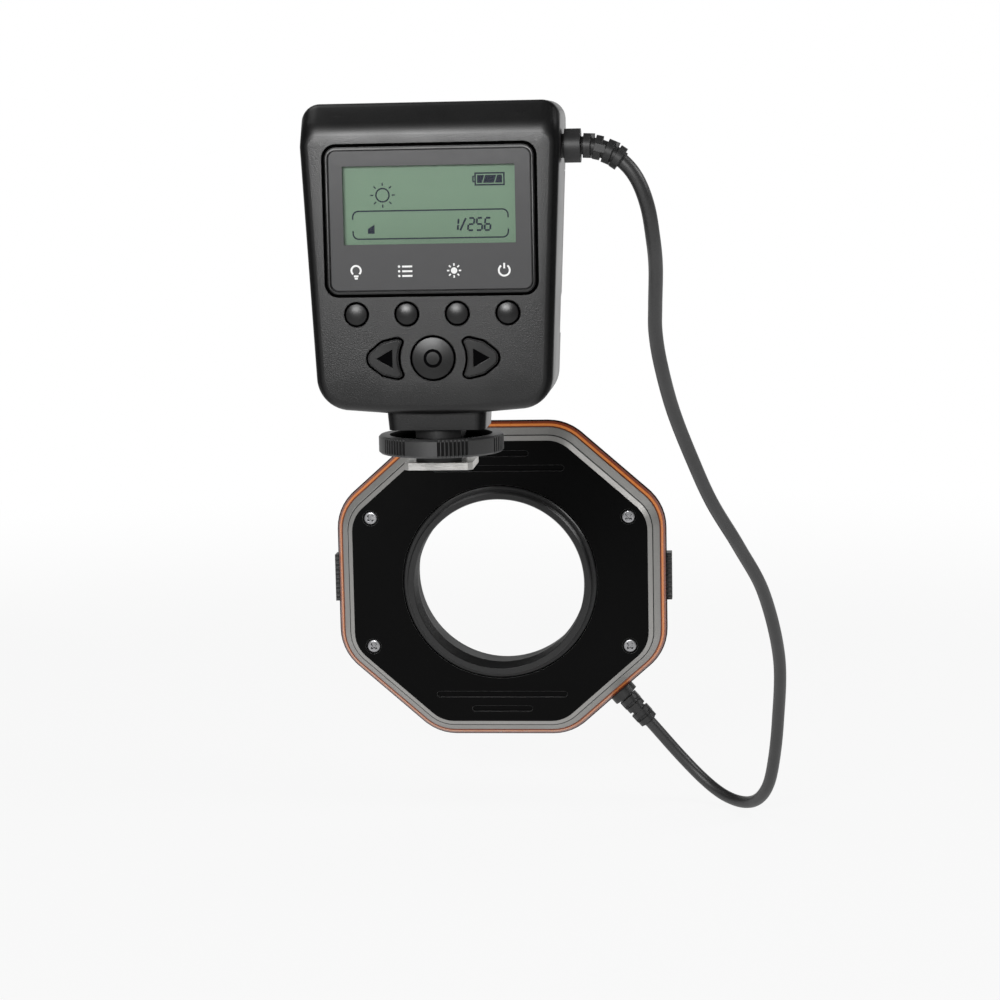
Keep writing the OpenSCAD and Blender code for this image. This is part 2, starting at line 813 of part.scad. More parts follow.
module shoe_neck() {
    color("#2c2c2e") difference() {
        hull($fn = HULL_FN) {
            translate([0, 0, neck_z]) linear_extrude(skin) neck_plate(neck_draft);
            translate([0, 0, neck_seat - fit_gap - skin]) linear_extrude(skin) neck_plate(0);
        }
        for (p = NECK_SCREWS) translate([p[0], p[1], 0]) cylinder(r = screw_r + 0.2, h = case_z + wall);
    }
}

module neck_screws() {
    color("silver") for (p = NECK_SCREWS) translate([p[0], p[1], 0]) {
        translate([0, 0, neck_screw_tip]) cylinder(r = screw_r, h = bay_z - head_t - 0.2 - neck_screw_tip);
        translate([0, 0, bay_z - head_t - 0.2]) cylinder(r = head_r, h = head_t);
    }
}

module threaded_post() {
    color("#8c8c8e") difference() {
        intersection() {
            translate([0, 0, foot_t]) cylinder(r = post_r, h = post_top - foot_t);
            translate([-stem_w / 2, -foot_l, 0]) cube([stem_w, 2 * foot_l, post_top + 1]);
        }
        cylinder(r = pin_bore_r, h = pin_bore_top);
        for (p = NECK_SCREWS) translate([p[0], p[1], neck_screw_tip - 0.5])
            cylinder(r = screw_r, h = post_top);
        for (p = FOOT_SCREWS) translate([p[0], p[1], 0]) cylinder(r = foot_screw_r, h = foot_screw_l + 0.4);
    }
}

module shoe_foot() {
    cut = 1.2;
    color("#b8b8ba") difference() {
        linear_extrude(foot_t) polygon([
            [-foot_w / 2 + cut, -foot_l / 2], [foot_w / 2 - cut, -foot_l / 2], [foot_w / 2, -foot_l / 2 + cut],
            [foot_w / 2, foot_l / 2 - cut], [foot_w / 2 - cut, foot_l / 2], [-foot_w / 2 + cut, foot_l / 2],
            [-foot_w / 2, foot_l / 2 - cut], [-foot_w / 2, -foot_l / 2 + cut]]);
        translate([0, 0, -1]) cylinder(r = insulator_r + fit_gap, h = foot_t + 2);
        for (p = FOOT_SCREWS) translate([p[0], p[1], 0]) {
            translate([0, 0, -1]) cylinder(r = foot_screw_r + fit_gap, h = foot_t + 2);
            cylinder(r1 = foot_screw_head + fit_gap, r2 = foot_screw_r + fit_gap,
                h = foot_screw_cone + fit_gap);
        }
    }
}

module foot_screws() {
    color("silver") for (p = FOOT_SCREWS) translate([p[0], p[1], fit_gap]) {
        cylinder(r = foot_screw_r, h = foot_screw_l - fit_gap);
        cylinder(r1 = foot_screw_head, r2 = foot_screw_r, h = foot_screw_cone);
    }
}

module contact_insulator() {
    color("#161616") difference() {
        cylinder(r = insulator_r, h = foot_t);
        translate([0, 0, -1]) cylinder(r = pin_r + 0.1, h = foot_t + 2);
    }
}

module contact_pin() {
    base = foot_t + fit_gap;
    color("gold") rotate_extrude() polygon([[0, -pin_proud], [pin_r - 0.5, -pin_proud],
        [pin_r, 0.5 - pin_proud], [pin_r, base], [pin_collar_r, base],
        [pin_collar_r, base + pin_collar_t], [0.8, base + pin_collar_t],
        [0.8, base + pin_collar_t + 1.6], [0, base + pin_collar_t + 1.6]]);
}

module contact_spring() {
    z = foot_t + fit_gap + pin_collar_t;
    color("silver") translate([0, 0, z])
        coil((pin_bore_r + 0.8) / 2, contact_wire_r, pin_bore_top - z, contact_turns);
}

module pressure_plate() {
    color("#9a9a9c") translate([0, 0, ring_z]) linear_extrude(plate_t) difference() {
        circle(plate_r);
        intersection() {
            circle(post_r + 0.2);
            square([stem_w + 0.4, 2 * foot_l], center = true);
        }
    }
}

module lock_ring() {
    soft = 0.5;
    web_z = plate_recess + ring_web_t;
    recess_r = plate_r + run_gap;
    color("#2a2a2c") translate([0, 0, ring_z]) difference() {
        rotate_extrude() polygon([[ring_bore_r, plate_recess], [recess_r, plate_recess], [recess_r, 0],
            [ring_r - soft, 0], [ring_r, soft], [ring_r, ring_h - soft], [ring_r - soft, ring_h],
            [ring_r - ring_wall, ring_h], [ring_r - ring_wall, web_z], [hub_r, web_z], [hub_r, ring_h - soft],
            [ring_bore_r, ring_h - soft]]);
        for (g = [0 : knurl_groups - 1]) for (i = [0 : knurl_grooves - 1]) {
            a = 360 * g / knurl_groups + knurl_turn - 90 + (i - (knurl_grooves - 1) / 2) * knurl_step;
            rotate([0, 0, a]) translate([ring_r, 0, -1]) cylinder(r = knurl_r, h = ring_h + 2);
        }
    }
}

// Strain reliefs: a collar, then ribs on a core, with bridges that change sides from rib to rib
module tail_rib(i) {
    cylinder(d = rib_d, h = rib_l);
    if (i < tail_ribs - 1) rotate([0, 0, 90 * (i % 2)])
        translate([-rib_d / 2, -bridge_w / 2, 0]) cube([rib_d, bridge_w, tail_l / tail_ribs]);
}

module controller_strain_relief() {
    color("#2a2a2c") {
        translate([gland_x - wall - 1.6, split_y, gland_z]) rotate([0, 90, 0]) {
            cylinder(r = gland_neck_r + 1.1, h = 1.5);
            cylinder(r = gland_neck_r, h = wall + 2.6);
            translate([0, 0, wall + 2.4]) cylinder(d = collar_d, h = collar_l + fit_gap);
        }
        translate([arc_x, split_y, gland_z - arc_r]) rotate([90, 0, 0]) rotate([0, 0, 90 - tail_bend])
            rotate_extrude(angle = tail_bend) translate([arc_r, 0]) circle(tail_core_r);
        for (i = [0 : tail_ribs - 1]) {
            a = tail_bend * (i + first_rib) / tail_ribs;
            translate([arc_x + arc_r * sin(a), split_y, gland_z - arc_r * (1 - cos(a))])
                rotate([0, 90 + a, 0]) tail_rib(i);
        }
    }
}

head_chamfer = atan2(head_h - head_flat_h, head_w - head_flat_w);
head_exit_y = (button_y0 + button_y1) / 2;
head_exit_dir = [sin(head_chamfer), 0, -cos(head_chamfer)];
// The collar stands on a flat face, sunk to the tapered side's depth at the collar's far edge
exit_inset = front_draft * (head_exit_y + collar_d / 2 - lip_y) / (nose_y - lip_y);
exit_wall = front_wall - exit_inset;
head_exit = [(head_w + head_flat_w) / 4, -(head_h + head_flat_h) / 4]
    - exit_inset * [head_exit_dir[0], head_exit_dir[2]];
head_relief_l = collar_l + tail_l;
cord_end = [head_exit[0], head_y + head_exit_y, head_z + head_exit[1]] + head_relief_l * head_exit_dir;

module head_strain_relief() {
    color("#2a2a2c") translate([head_exit[0], head_y + head_exit_y, head_z + head_exit[1]])
        rotate([0, 180 - head_chamfer, 0]) {
            translate([0, 0, -exit_wall - 1.6]) cylinder(r = gland_neck_r + 1.1, h = 1.4);
            translate([0, 0, -exit_wall - 1.6]) cylinder(r = gland_neck_r, h = exit_wall + 2);
            translate([0, 0, fit_gap]) cylinder(d = collar_d, h = collar_l - fit_gap);
            translate([0, 0, collar_l]) {
                cylinder(r = tail_core_r, h = tail_l);
                for (i = [0 : tail_ribs - 1]) translate([0, 0, (i + first_rib) * tail_l / tail_ribs])
                    tail_rib(i);
            }
        }
}

// Cord: a smooth curve through the route, swept as one tube
function smooth(a, b, c, d, t) = 0.5 * (2 * b + (c - a) * t + (2 * a - 5 * b + 4 * c - d) * t * t
    + (3 * b - a - 3 * c + d) * t * t * t);
function unit(v) = v / norm(v);

module cord() {
    first = ROUTE[0];
    final = ROUTE[len(ROUTE) - 1];
    knots = concat([first - 2 * norm(first - tail_end) * tail_dir, tail_end], ROUTE,
        [cord_end, final - 2 * norm(final - cord_end) * head_exit_dir]);
    line = concat([for (i = [1 : len(knots) - 3]) for (k = [0 : CORD_STEPS - 1])
        smooth(knots[i - 1], knots[i], knots[i + 1], knots[i + 2], k / CORD_STEPS)], [cord_end]);
    last = len(line) - 1;
    points = [for (i = [0 : last]) let (
        along = i == 0 ? tail_dir : i == last ? -head_exit_dir : unit(line[i + 1] - line[i - 1]),
        side = unit(cross(along, SWEEP_UP)), up = cross(side, along))
        for (k = [0 : CORD_SIDES - 1]) let (a = 360 * k / CORD_SIDES)
            line[i] + cord_d / 2 * (cos(a) * side - sin(a) * up)];
    color("#303032") tube_solid(points, CORD_SIDES, last);
}

// Ring head: everything is drawn round the lens axis and moved there
module at_head() {
    translate([0, head_y, head_z]) children();
}

// The head's outline: eight sides with rounded corners, inset from the widest
module head_outline(inset) {
    r = head_corner_r;
    x = head_w / 2;
    z = head_h / 2;
    fx = head_flat_w / 2;
    fz = head_flat_h / 2;
    ring = [[fx, z], [x, fz], [x, -fz], [fx, -z], [-fx, -z], [-x, -fz], [-x, fz], [-fx, z]];
    corners = [for (i = [0 : 7]) let (a = unit(ring[(i + 7) % 8] - ring[i]),
        b = unit(ring[(i + 1) % 8] - ring[i]), half = acos(a * b) / 2)
            [ring[i] + unit(a + b) * r / sin(half), a, b]];
    polygon([for (c = corners) for (side = [c[1], c[2]])
        let (out = unit(side == c[1] ? [side[1], -side[0]] : [-side[1], side[0]]))
            c[0] + (r - inset) * out]);
    for (c = corners) translate(c[0]) circle(r - inset);
}

module head_slab(y0, y1, inset) {
    slab(y0, y1) head_outline(inset);
}

// A loft through plates of the outline, each [from depth, to depth, inset]
module head_loft(plates) {
    hull($fn = HEAD_FN) for (p = plates) head_slab(p[0], p[1], p[2]);
}

module stadium(w, h) {
    square([w - h, h], center = true);
    for (s = [-1, 1]) translate([s * (w - h) / 2, 0]) circle(h / 2);
}

module head_back_cover() {
    tube_end = front_y - 0.3;
    color("#2a2a2c") at_head() difference() {
        union() {
            head_loft([[0, skin, inset_back], [seam_y - skin, seam_y, inset_seam + 0.15]]);
            head_slab(seam_y - 0.2, cover_t, housing_inset + fit_gap);
            turned_y([[seat_r, 0], [seat_tube_r, 0], [seat_tube_r, seat_d + web_t], [tube_r, seat_d + web_t],
                [tube_r, tube_end], [aperture_r, tube_end], [aperture_r, seat_d], [seat_r, seat_d]]);
            for (a = [0, 180]) rotate([0, a, 0]) translate([tube_r - tube_wall / 2, seat_d, -stop_w / 2])
                cube([stop_x - tube_r + tube_wall / 2, button_y1 - seat_d, stop_w]);
        }
        rod_y([0, 0], seat_r, -1, seat_d);
        for (s = [-1, 1]) translate([s * seat_r, 0, 0])
            translate([-claw_cut, groove_y0, -claw_w / 2 - 1])
                cube([2 * claw_cut, groove_y1 - groove_y0, claw_w + 2]);
        for (v = VENTS) for (s = [-1, 1]) translate([0, 0, s * v[1]])
            slab(-1, vent_depth) stadium(v[0], vent_h);
        for (p = HEAD_SCREWS) {
            rod_y(p, screw_r + 0.2, -1, cover_t + 1);
            rod_y(p, sink_r, -1, head_t);
        }
    }
}

module head_housing() {
    color("#6a6a6c") at_head() difference() {
        head_loft([[seam_y, seam_y + skin, inset_seam], [bevel_2_y, trim_back_y, trim_w]]);
        head_slab(0, trim_back_y + 1, housing_inset);
    }
}

module trim_band() {
    color("#c8541c") at_head() difference() {
        head_loft([[trim_y, trim_y + skin, trim_w - 0.4], [trim_back_y - 0.6, trim_back_y, trim_step]]);
        head_slab(trim_y - 1, trim_back_y + 1, trim_w - fit_gap);
    }
}

module head_front_bezel() {
    color("#2a2a2c") at_head() difference() {
        union() {
            difference() {
                head_loft([[trim_back_y, lip_y, 0], [nose_y - skin, nose_y, front_draft],
                    [front_y - nose_r / 3 - skin, front_y - nose_r / 3, front_draft + nose_r * 0.4],
                    [front_y - skin, front_y, front_draft + nose_r]]);
                head_slab(trim_back_y - 1, led_board_y - fit_gap, front_wall);
            }
            for (p = HEAD_SCREWS) rod_y(p, head_boss_r, cover_t + fit_gap, led_board_y - fit_gap);
        }
        rod_y([0, 0], light_r, led_board_y - fit_gap - 0.05, led_board_y + board_ring_t + fit_gap);
        rod_y([0, 0], ledge_r, led_board_y, front_y + 1);
        rod_y([0, 0], light_r, window_ring_y - fit_gap, front_y + 1);
        for (p = HEAD_SCREWS) rod_y(p, screw_r, 0, led_board_y - 3);
        for (s = [-1, 1]) translate([s * head_w / 2, 0, 0])
            translate([-front_wall - 1, button_y0 - run_gap, -button_w / 2 - run_gap])
                cube([2 * front_wall + 2, button_y1 - button_y0 + 2 * run_gap, button_w + 2 * run_gap]);
        translate([head_exit[0], head_exit_y, head_exit[1]]) rotate([0, 180 - head_chamfer, 0]) {
            translate([0, 0, -2 * exit_wall]) cylinder(r = gland_neck_r + fit_gap, h = 3 * exit_wall);
            cylinder(r = collar_d / 2 + fit_gap, h = collar_l);
        }
    }
}

module front_window() {
    far_y = window_ring_y + window_ring_t;
    color("#d8dce0", 0.5) at_head() turned_y([[tube_r + fit_gap, window_ring_y],
        [light_r - fit_gap, window_ring_y], [light_r - fit_gap, far_y], [tube_r + fit_gap, far_y]]);
}

module led_board() {
    far_y = led_board_y + board_ring_t;
    color("white") at_head() turned_y([[tube_r + fit_gap, led_board_y], [light_r - fit_gap, led_board_y],
        [light_r - fit_gap, far_y], [tube_r + fit_gap, far_y]]);
}

module led_circle(count, r) {
    y = led_board_y + board_ring_t;
    for (i = [0 : count - 1]) {
        p = [r * cos(360 * i / count), r * sin(360 * i / count)];
        translate([p[0], y, p[1]]) rotate([-90, 0, 0]) {
            cylinder(r = led_base_r, h = led_base_t);
            translate([0, 0, led_base_t]) intersection() {
                translate([0, 0, -led_dome_sink]) sphere(led_dome_r);
                cylinder(r = led_dome_r, h = led_dome_r);
            }
        }
    }
}

module led_array() {
    color("#f4f0c0") at_head() {
        led_circle(led_inner, led_inner_r);
        led_circle(led_outer, led_outer_r);
    }
}

module lens_adapter() {
    tail = -run_gap;
    color("#1e1e20") at_head() turned_y([[adapter_bore_r, tail - thread_l], [thread_r - 0.4, tail - thread_l],
        [thread_r, tail - thread_l + 0.4], [thread_r, tail], [flange_r - 0.5, tail], [flange_r, tail + 0.5],
        [flange_r, groove_y0], [thread_r, groove_y0], [thread_r, groove_y1], [flange_r, groove_y1],
        [flange_r, seat_d - run_gap], [adapter_bore_r, seat_d - run_gap]]);
}

// One latch, with its button towards +X and its claw towards -X
module latch(y) {
    slide = latch_travel + run_gap;
    color("#3a3a3c") {
        slab(y, y + yoke_t) difference() {
            union() {
                for (x = [0, slide]) translate([x, 0]) circle(yoke_out_r);
                translate([-yoke_in_r - 1, -claw_w / 2]) square([yoke_in_r + 1 - claw_tip_r, claw_w]);
                for (s = [-1, 1]) translate([yoke_in_r, s * (arm_z + 2) - 2]) square([web_x - yoke_in_r, 4]);
            }
            difference() {
                union() {
                    for (x = [0, slide]) translate([x, 0]) circle(yoke_in_r);
                    translate([0, -yoke_in_r]) square([slide, 2 * yoke_in_r]);
                }
                translate([-yoke_in_r - 1, -claw_w / 2]) square([yoke_in_r + 1 - claw_tip_r, claw_w]);
            }
        }
        translate([web_x - yoke_web_t, y, -button_w / 2]) cube([yoke_web_t, button_y1 - y, button_w]);
        translate([web_x - yoke_web_t, button_y0, -button_w / 2])
            cube([head_w / 2 + button_proud - web_x + yoke_web_t, button_y1 - button_y0, button_w]);
    }
}

module release_latch_left() {
    at_head() mirror([1, 0, 0]) latch(yoke_y_left);
}

module release_latch_right() {
    at_head() latch(yoke_y_right);
}

module latch_spring() {
    color("silver") translate([stop_x, (button_y0 + button_y1) / 2, 0]) rotate([0, 90, 0])
        coil(latch_spring_r, latch_wire_r, spring_room, latch_turns);
}

module latch_spring_left() {
    at_head() mirror([1, 0, 0]) latch_spring();
}

module latch_spring_right() {
    at_head() latch_spring();
}

module head_screws() {
    color("silver") at_head() for (p = HEAD_SCREWS) {
        rod_y(p, screw_r, head_t, led_board_y - 4);
        rod_y(p, head_r, head_t - 1, head_t);
    }
}

panel_shell();
battery_shell();
battery_door();
display_window();
lcd_panel();
lcd_backlight();
main_board();
tact_switches();
lamp_key();
mode_key();
level_key();
power_key();
set_key();
left_key();
right_key();
case_screws();
board_screws();
battery_1();
battery_2();
battery_3();
battery_4();
battery_contacts();
battery_springs();
shoe_neck();
neck_screws();
threaded_post();
shoe_foot();
foot_screws();
contact_insulator();
contact_pin();
contact_spring();
pressure_plate();
lock_ring();
controller_strain_relief();
cord();
head_strain_relief();
head_back_cover();
head_housing();
trim_band();
head_front_bezel();
front_window();
led_board();
led_array();
lens_adapter();
release_latch_left();
release_latch_right();
latch_spring_left();
latch_spring_right();
head_screws();
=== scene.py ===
"""Looks of the macro ring light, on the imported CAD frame.

Lengths are millimetres in the CAD frame, +Z up and -Y towards the keys, until MM turns them into metres.
"""
import json
import math

import bmesh
import bpy
from mathutils import Matrix, Vector

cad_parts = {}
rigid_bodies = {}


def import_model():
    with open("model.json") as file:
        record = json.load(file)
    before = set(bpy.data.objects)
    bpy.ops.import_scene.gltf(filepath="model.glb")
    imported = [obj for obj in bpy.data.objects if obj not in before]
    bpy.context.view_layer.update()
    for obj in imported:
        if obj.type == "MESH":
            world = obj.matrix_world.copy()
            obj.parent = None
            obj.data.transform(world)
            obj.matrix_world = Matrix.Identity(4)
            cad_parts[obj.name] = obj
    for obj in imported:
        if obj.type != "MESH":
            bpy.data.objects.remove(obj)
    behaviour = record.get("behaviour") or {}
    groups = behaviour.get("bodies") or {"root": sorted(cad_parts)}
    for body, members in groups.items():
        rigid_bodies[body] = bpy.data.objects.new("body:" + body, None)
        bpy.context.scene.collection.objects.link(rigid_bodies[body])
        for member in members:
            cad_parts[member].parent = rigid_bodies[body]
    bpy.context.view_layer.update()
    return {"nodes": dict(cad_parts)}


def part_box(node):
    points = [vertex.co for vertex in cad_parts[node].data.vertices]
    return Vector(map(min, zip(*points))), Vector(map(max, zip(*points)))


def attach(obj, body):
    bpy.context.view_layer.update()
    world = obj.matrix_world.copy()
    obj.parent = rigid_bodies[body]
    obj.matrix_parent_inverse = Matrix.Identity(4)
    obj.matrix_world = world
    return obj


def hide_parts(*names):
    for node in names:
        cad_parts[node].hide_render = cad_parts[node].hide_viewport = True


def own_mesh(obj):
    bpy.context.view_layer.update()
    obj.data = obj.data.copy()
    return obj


MM = 0.001

for leftover in list(bpy.data.objects):
    bpy.data.objects.remove(leftover)
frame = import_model()
nodes = frame["nodes"]


def box_mm(node):
    low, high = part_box(node)
    return low / MM, high / MM


# Places that the CAD gives
WINDOW_LOW, WINDOW_HIGH = box_mm("display_window")
LCD_LOW, LCD_HIGH = box_mm("lcd_panel")
SET_LOW, SET_HIGH = box_mm("set_key")
ADAPTER_LOW, ADAPTER_HIGH = box_mm("lens_adapter")
TRIM_LOW, TRIM_HIGH = box_mm("trim_band")
LED_LOW, LED_HIGH = box_mm("led_array")
CELL_LOW, CELL_HIGH = box_mm("battery_1")
# Depth of the case's front, and how far the keys stand out of it
FACE_Y = -14.5
KEY_PROUD = 0.8
HEAD_CENTRE = Vector((0, 160, -60))

# Camera: where it stands, and how it is turned, tilted and rolled, in degrees
CAMERA_AT = Vector((80.906, -689.969, 87.935))
CAMERA_TURN = 5.4
CAMERA_TILT = 8.0
CAMERA_ROLL = 1.15
CAMERA_LENS = 92.484
SENSOR = 36
CLIP_START = 10


def add_camera():
    camera = bpy.data.objects.new("camera", bpy.data.cameras.new("camera"))
    camera.data.lens = CAMERA_LENS
    camera.data.sensor_width = SENSOR
    camera.data.clip_start = CLIP_START * MM
    place = Matrix.Translation(CAMERA_AT * MM)
    for degrees, axis in ((CAMERA_TURN, "Z"), (90 - CAMERA_TILT, "X"), (-CAMERA_ROLL, "Z")):
        place = place @ Matrix.Rotation(math.radians(degrees), 4, axis)
    camera.matrix_world = place
    bpy.context.scene.collection.objects.link(camera)
    bpy.context.scene.camera = camera


# Materials
def new_node(tree, kind, inputs=(), **settings):
    """Outputs of a new node, whose inputs are set to values, or linked where outputs are given."""
    made = tree.nodes.new(kind)
    for name, value in settings.items():
        setattr(made, name, value)
    for key, value in dict(inputs).items():
        if isinstance(value, bpy.types.NodeSocket):
            tree.links.new(value, made.inputs[key])
        else:
            made.inputs[key].default_value = value
    return made.outputs


def number(tree, operation, a, b=0.0):
    """What a math node makes of one or two numbers."""
    return new_node(tree, "ShaderNodeMath", {0: a, 1: b}, operation=operation)[0]


def map_range(tree, value, low, high, to_low=0.0, to_high=1.0, **settings):
    """value from low..high to to_low..to_high, held at the ends."""
    inputs = {"Value": value, "From Min": low, "From Max": high, "To Min": to_low, "To Max": to_high}
    return new_node(tree, "ShaderNodeMapRange", inputs, **settings)[0]


# Between these lie most of a noise's values
NOISE_LOW, NOISE_HIGH = 0.3, 0.7
BEVEL_SAMPLES = 4
# Plain greys are a trace blue
BLUER = 1.02
# Painted shade, where little light reaches
BLACK = (0.001, 0.001, 0.001, 1)


def grey(level):
    return (level, level, level * BLUER)


def scaled(colour, share):
    return tuple(c * share for c in colour)


class Look:
    """A Principled material whose patterns lie in object space, so that they stay on their piece."""

    def __init__(self, name, colour, roughness, **sockets):
        self.slot = name
        self.mat = bpy.data.materials.new("look_" + name)
        self.mat.use_nodes = True
        self.tree = self.mat.node_tree
        self.shader = self.tree.nodes["Principled BSDF"]
        self.place = self.node("TexCoord")
        for socket, value in {"Base_Color": (*colour, 1), "Roughness": roughness, **sockets}.items():
            self.shader.inputs[socket.replace("_", " ")].default_value = value

    def node(self, kind, inputs=(), **settings):
        return new_node(self.tree, "ShaderNode" + kind, inputs, **settings)

    def drive(self, socket, output):
        self.tree.links.new(output, self.shader.inputs[socket])

    def colour(self, output):
        self.drive("Base Color", output)

    def rough(self, noise, low, high):
        self.drive("Roughness", self.spread(noise, NOISE_LOW, NOISE_HIGH, low, high))

    def relief(self, height, normal, depth):
        self.drive("Normal", self.bump(height, normal, depth))

    def stretched(self, scale):
        """Object coordinates in metres, multiplied along each axis."""
        return self.node("Mapping", {"Vector": self.place["Object"], "Scale": scale})[0]

    def noise(self, per_metre, detail=2, stretch=None):
        where = self.stretched(stretch) if stretch else self.place["Object"]
        inputs = {"Vector": where, "Scale": per_metre, "Detail": detail}
        return self.node("TexNoise", inputs)[0]

    def axis(self, which, source="Object"):
        return self.node("SeparateXYZ", {0: self.place[source]})[which]

    def spread(self, *values):
        return map_range(self.tree, *values)

    def past(self, value, at, fade):
        """0 up to a place in millimetres and 1 past its fade; a negative fade goes the other way."""
        return self.spread(value, at * MM, (at + fade) * MM)

    def between(self, share, at_none, at_full):
        """at_none where a share is 0, and at_full where it is 1."""
        return self.spread(share, 0.0, 1.0, at_none, at_full)

    def times(self, first, *others):
        for other in others:
            first = number(self.tree, "MULTIPLY", first, other)
        return first

    def minus(self, a, b):
        return number(self.tree, "SUBTRACT", a, b)

    def larger(self, a, b):
        return number(self.tree, "MAXIMUM", a, b)

    def away(self, a, b=0.0):
        """The distance between two numbers."""
        return number(self.tree, "ABSOLUTE", self.minus(a, b))

    def vector(self, operation, inputs, output=0):
        return self.node("VectorMath", inputs, operation=operation)[output]

    def from_axis(self):
        """Distance from the Z axis, in metres."""
        return self.vector("LENGTH", {0: self.stretched((1, 1, 0))}, "Value")

    def ramp(self, factor, *stops):
        made = self.node("ValToRGB", {"Fac": factor})[0]
        elements = made.node.color_ramp.elements
        while len(elements) < len(stops):
            elements.new(0.5)
        for element, (at, colour) in zip(elements, stops):
            element.position = at
            element.color = (*colour, 1)
        return made

    def mottled(self, noise, colour, dark, light, start=NOISE_LOW, end=NOISE_HIGH):
        """The colour, times dark where the noise is low and times light where it is high."""
        return self.ramp(noise, (start, scaled(colour, dark)), (end, scaled(colour, light)))

    def blend(self, factor, a, b):
        """Colour a where the factor is 0, and b where it is 1."""
        return self.node("Mix", {0: factor, 6: a, 7: b}, data_type="RGBA")[2]

    def rounded(self, radius):
        """A normal that rolls over the piece's edges."""
        return self.node("Bevel", {"Radius": radius * MM}, samples=BEVEL_SAMPLES)[0]

    def bump(self, height, normal, depth):
        """The normal, roughened by a height of so many millimetres."""
        inputs = {"Height": height, "Distance": depth * MM, "Normal": normal}
        return self.node("Bump", inputs)[0]


def moulded(name, level, roughness, grain=2600, depth=0.02, edge=0.12, **sockets):
    """Moulded plastic or rubber: mottled colour, uneven sheen, a spark-eroded grain and rolled edges."""
    swing = 0.05
    look = Look(name, grey(level), roughness, **sockets)
    speck = look.noise(grain)
    look.colour(look.mottled(speck, grey(level), dark=0.75, light=1.3))
    look.rough(look.noise(90, detail=4), roughness - swing, roughness + swing)
    look.relief(speck, look.rounded(edge), depth)
    return look


# Over how far the edge of a shaded area fades
FADE = 0.1
# The stretch of the case's front with the display groove and the key holes
SOCKETS_X, SOCKETS_LOW_Z, SOCKETS_HIGH_Z = 28.7, 24.5, 87.8
# How far below the face the painted shade turns it black, and down to which depth
DEEP_FROM, DEEP_FADE = 0.3, 0.15
SOCKETS_BACK_Y, BACK_FADE = -5.0, 0.2
# Below this height are the keys, and above it the display
KEYS_BELOW_Z = WINDOW_LOW.z - 2.8
# The groove's bead shades as a shallower one that leans up at the display's top
BEAD_FROM, BEAD_FLATTEN, BEAD_LEAN = 0.25, 2.0, 0.3
# How far the edges of the keys and of their holes stay dark
KEY_EDGE = 0.35
# How high over the face the keys' dark edges start, and the fade of their sides
KEY_LOW, KEY_SUNK_FADE = 0.65, 0.25
# Sheen of plain plastic, of the case's flat sides, of the keys and of the lock ring
SHEEN, SIDE_SHEEN, KEY_SHEEN, RING_SHEEN = 0.5, 0.88, 0.44, 0.8
# How much sheen the case's upright rims lose, and how much grain rounded faces keep
RIM_DULL, RIM_GRAIN = 0.85, 0.12
# The soft bend under the case's leaning brow, and the brow's lean in degrees
BEND_LOW_Z, BEND_HIGH_Z, BROW_LEAN = 86.0, 93.2, 32.8
# How late the bend turns: 1 turns evenly
BEND_LATE = 2.2
# Slopes in radians over which the bend sets in, and past the brow's lean goes out
BEND_IN, BEND_OUT = (-0.2, -0.05), (0.6, 0.2)
BROW_BACK_Y, BROW_FADE = -8.0, 1.0
# Values of a normal's part between which one kind of face passes into the next
FLAT_TO_ROLLED, FLAT_TO_CURVED = (-0.995, -0.97), (-0.9995, -0.998)
FACE_TO_RIM, SIDE_TO_RIM, RIM_TO_SIDE = (0.2, 0.5), (0.97, 0.9), (0.97, 0.995)
PLAIN_TO_EDGE = (0.995, 0.93)


def in_sockets(look):
    """1 within the outline of the display groove and the key holes."""
    x, z = look.away(look.axis("X")), look.axis("Z")
    return look.times(look.past(x, SOCKETS_X, -FADE), look.past(z, SOCKETS_LOW_Z, FADE),
                      look.past(z, SOCKETS_HIGH_Z, -FADE))


def flatter(look, normal, amount):
    """A normal pulled towards the front, as a shallower bead has it."""
    lean = look.spread(look.axis("Z"), WINDOW_LOW.z * MM, WINDOW_HIGH.z * MM, 0.0, BEAD_LEAN)
    towards = look.node("CombineXYZ", {"Y": -1.0, "Z": lean})[0]
    push = look.vector("SCALE", {0: towards, "Scale": amount})
    return look.vector("NORMALIZE", {0: look.vector("ADD", {0: normal, 1: push})})


def near_edge(look, rolled):
    """1 along the edges that the rolled normal rounds, 0 away from them."""
    true = look.node("NewGeometry")["Normal"]
    turn = look.vector("DOT_PRODUCT", {0: rolled, 1: true}, "Value")
    return look.spread(turn, *PLAIN_TO_EDGE)


def soft_bend(look, normal):
    """Turns the normal about X, so that the front rolls softly into the brow instead of at a crease."""
    lean = math.radians(BROW_LEAN)
    outward = look.times(look.axis("Y", "Normal"), -1.0)
    slope = number(look.tree, "ARCTAN2", look.axis("Z", "Normal"), outward)
    share = look.spread(look.axis("Z"), BEND_LOW_Z * MM, BEND_HIGH_Z * MM)
    wanted = look.times(number(look.tree, "POWER", share, BEND_LATE), lean)
    turn = look.times(look.minus(look.spread(slope, 0.0, lean, 0.0, lean), wanted),
                      look.spread(slope, *BEND_IN), look.spread(slope, *(lean + past for past in BEND_OUT)),
                      look.past(look.axis("Y"), BROW_BACK_Y, -BROW_FADE))
    inputs = {"Vector": normal, "Angle": turn}
    return look.node("VectorRotate", inputs, rotation_type="X_AXIS")[0]


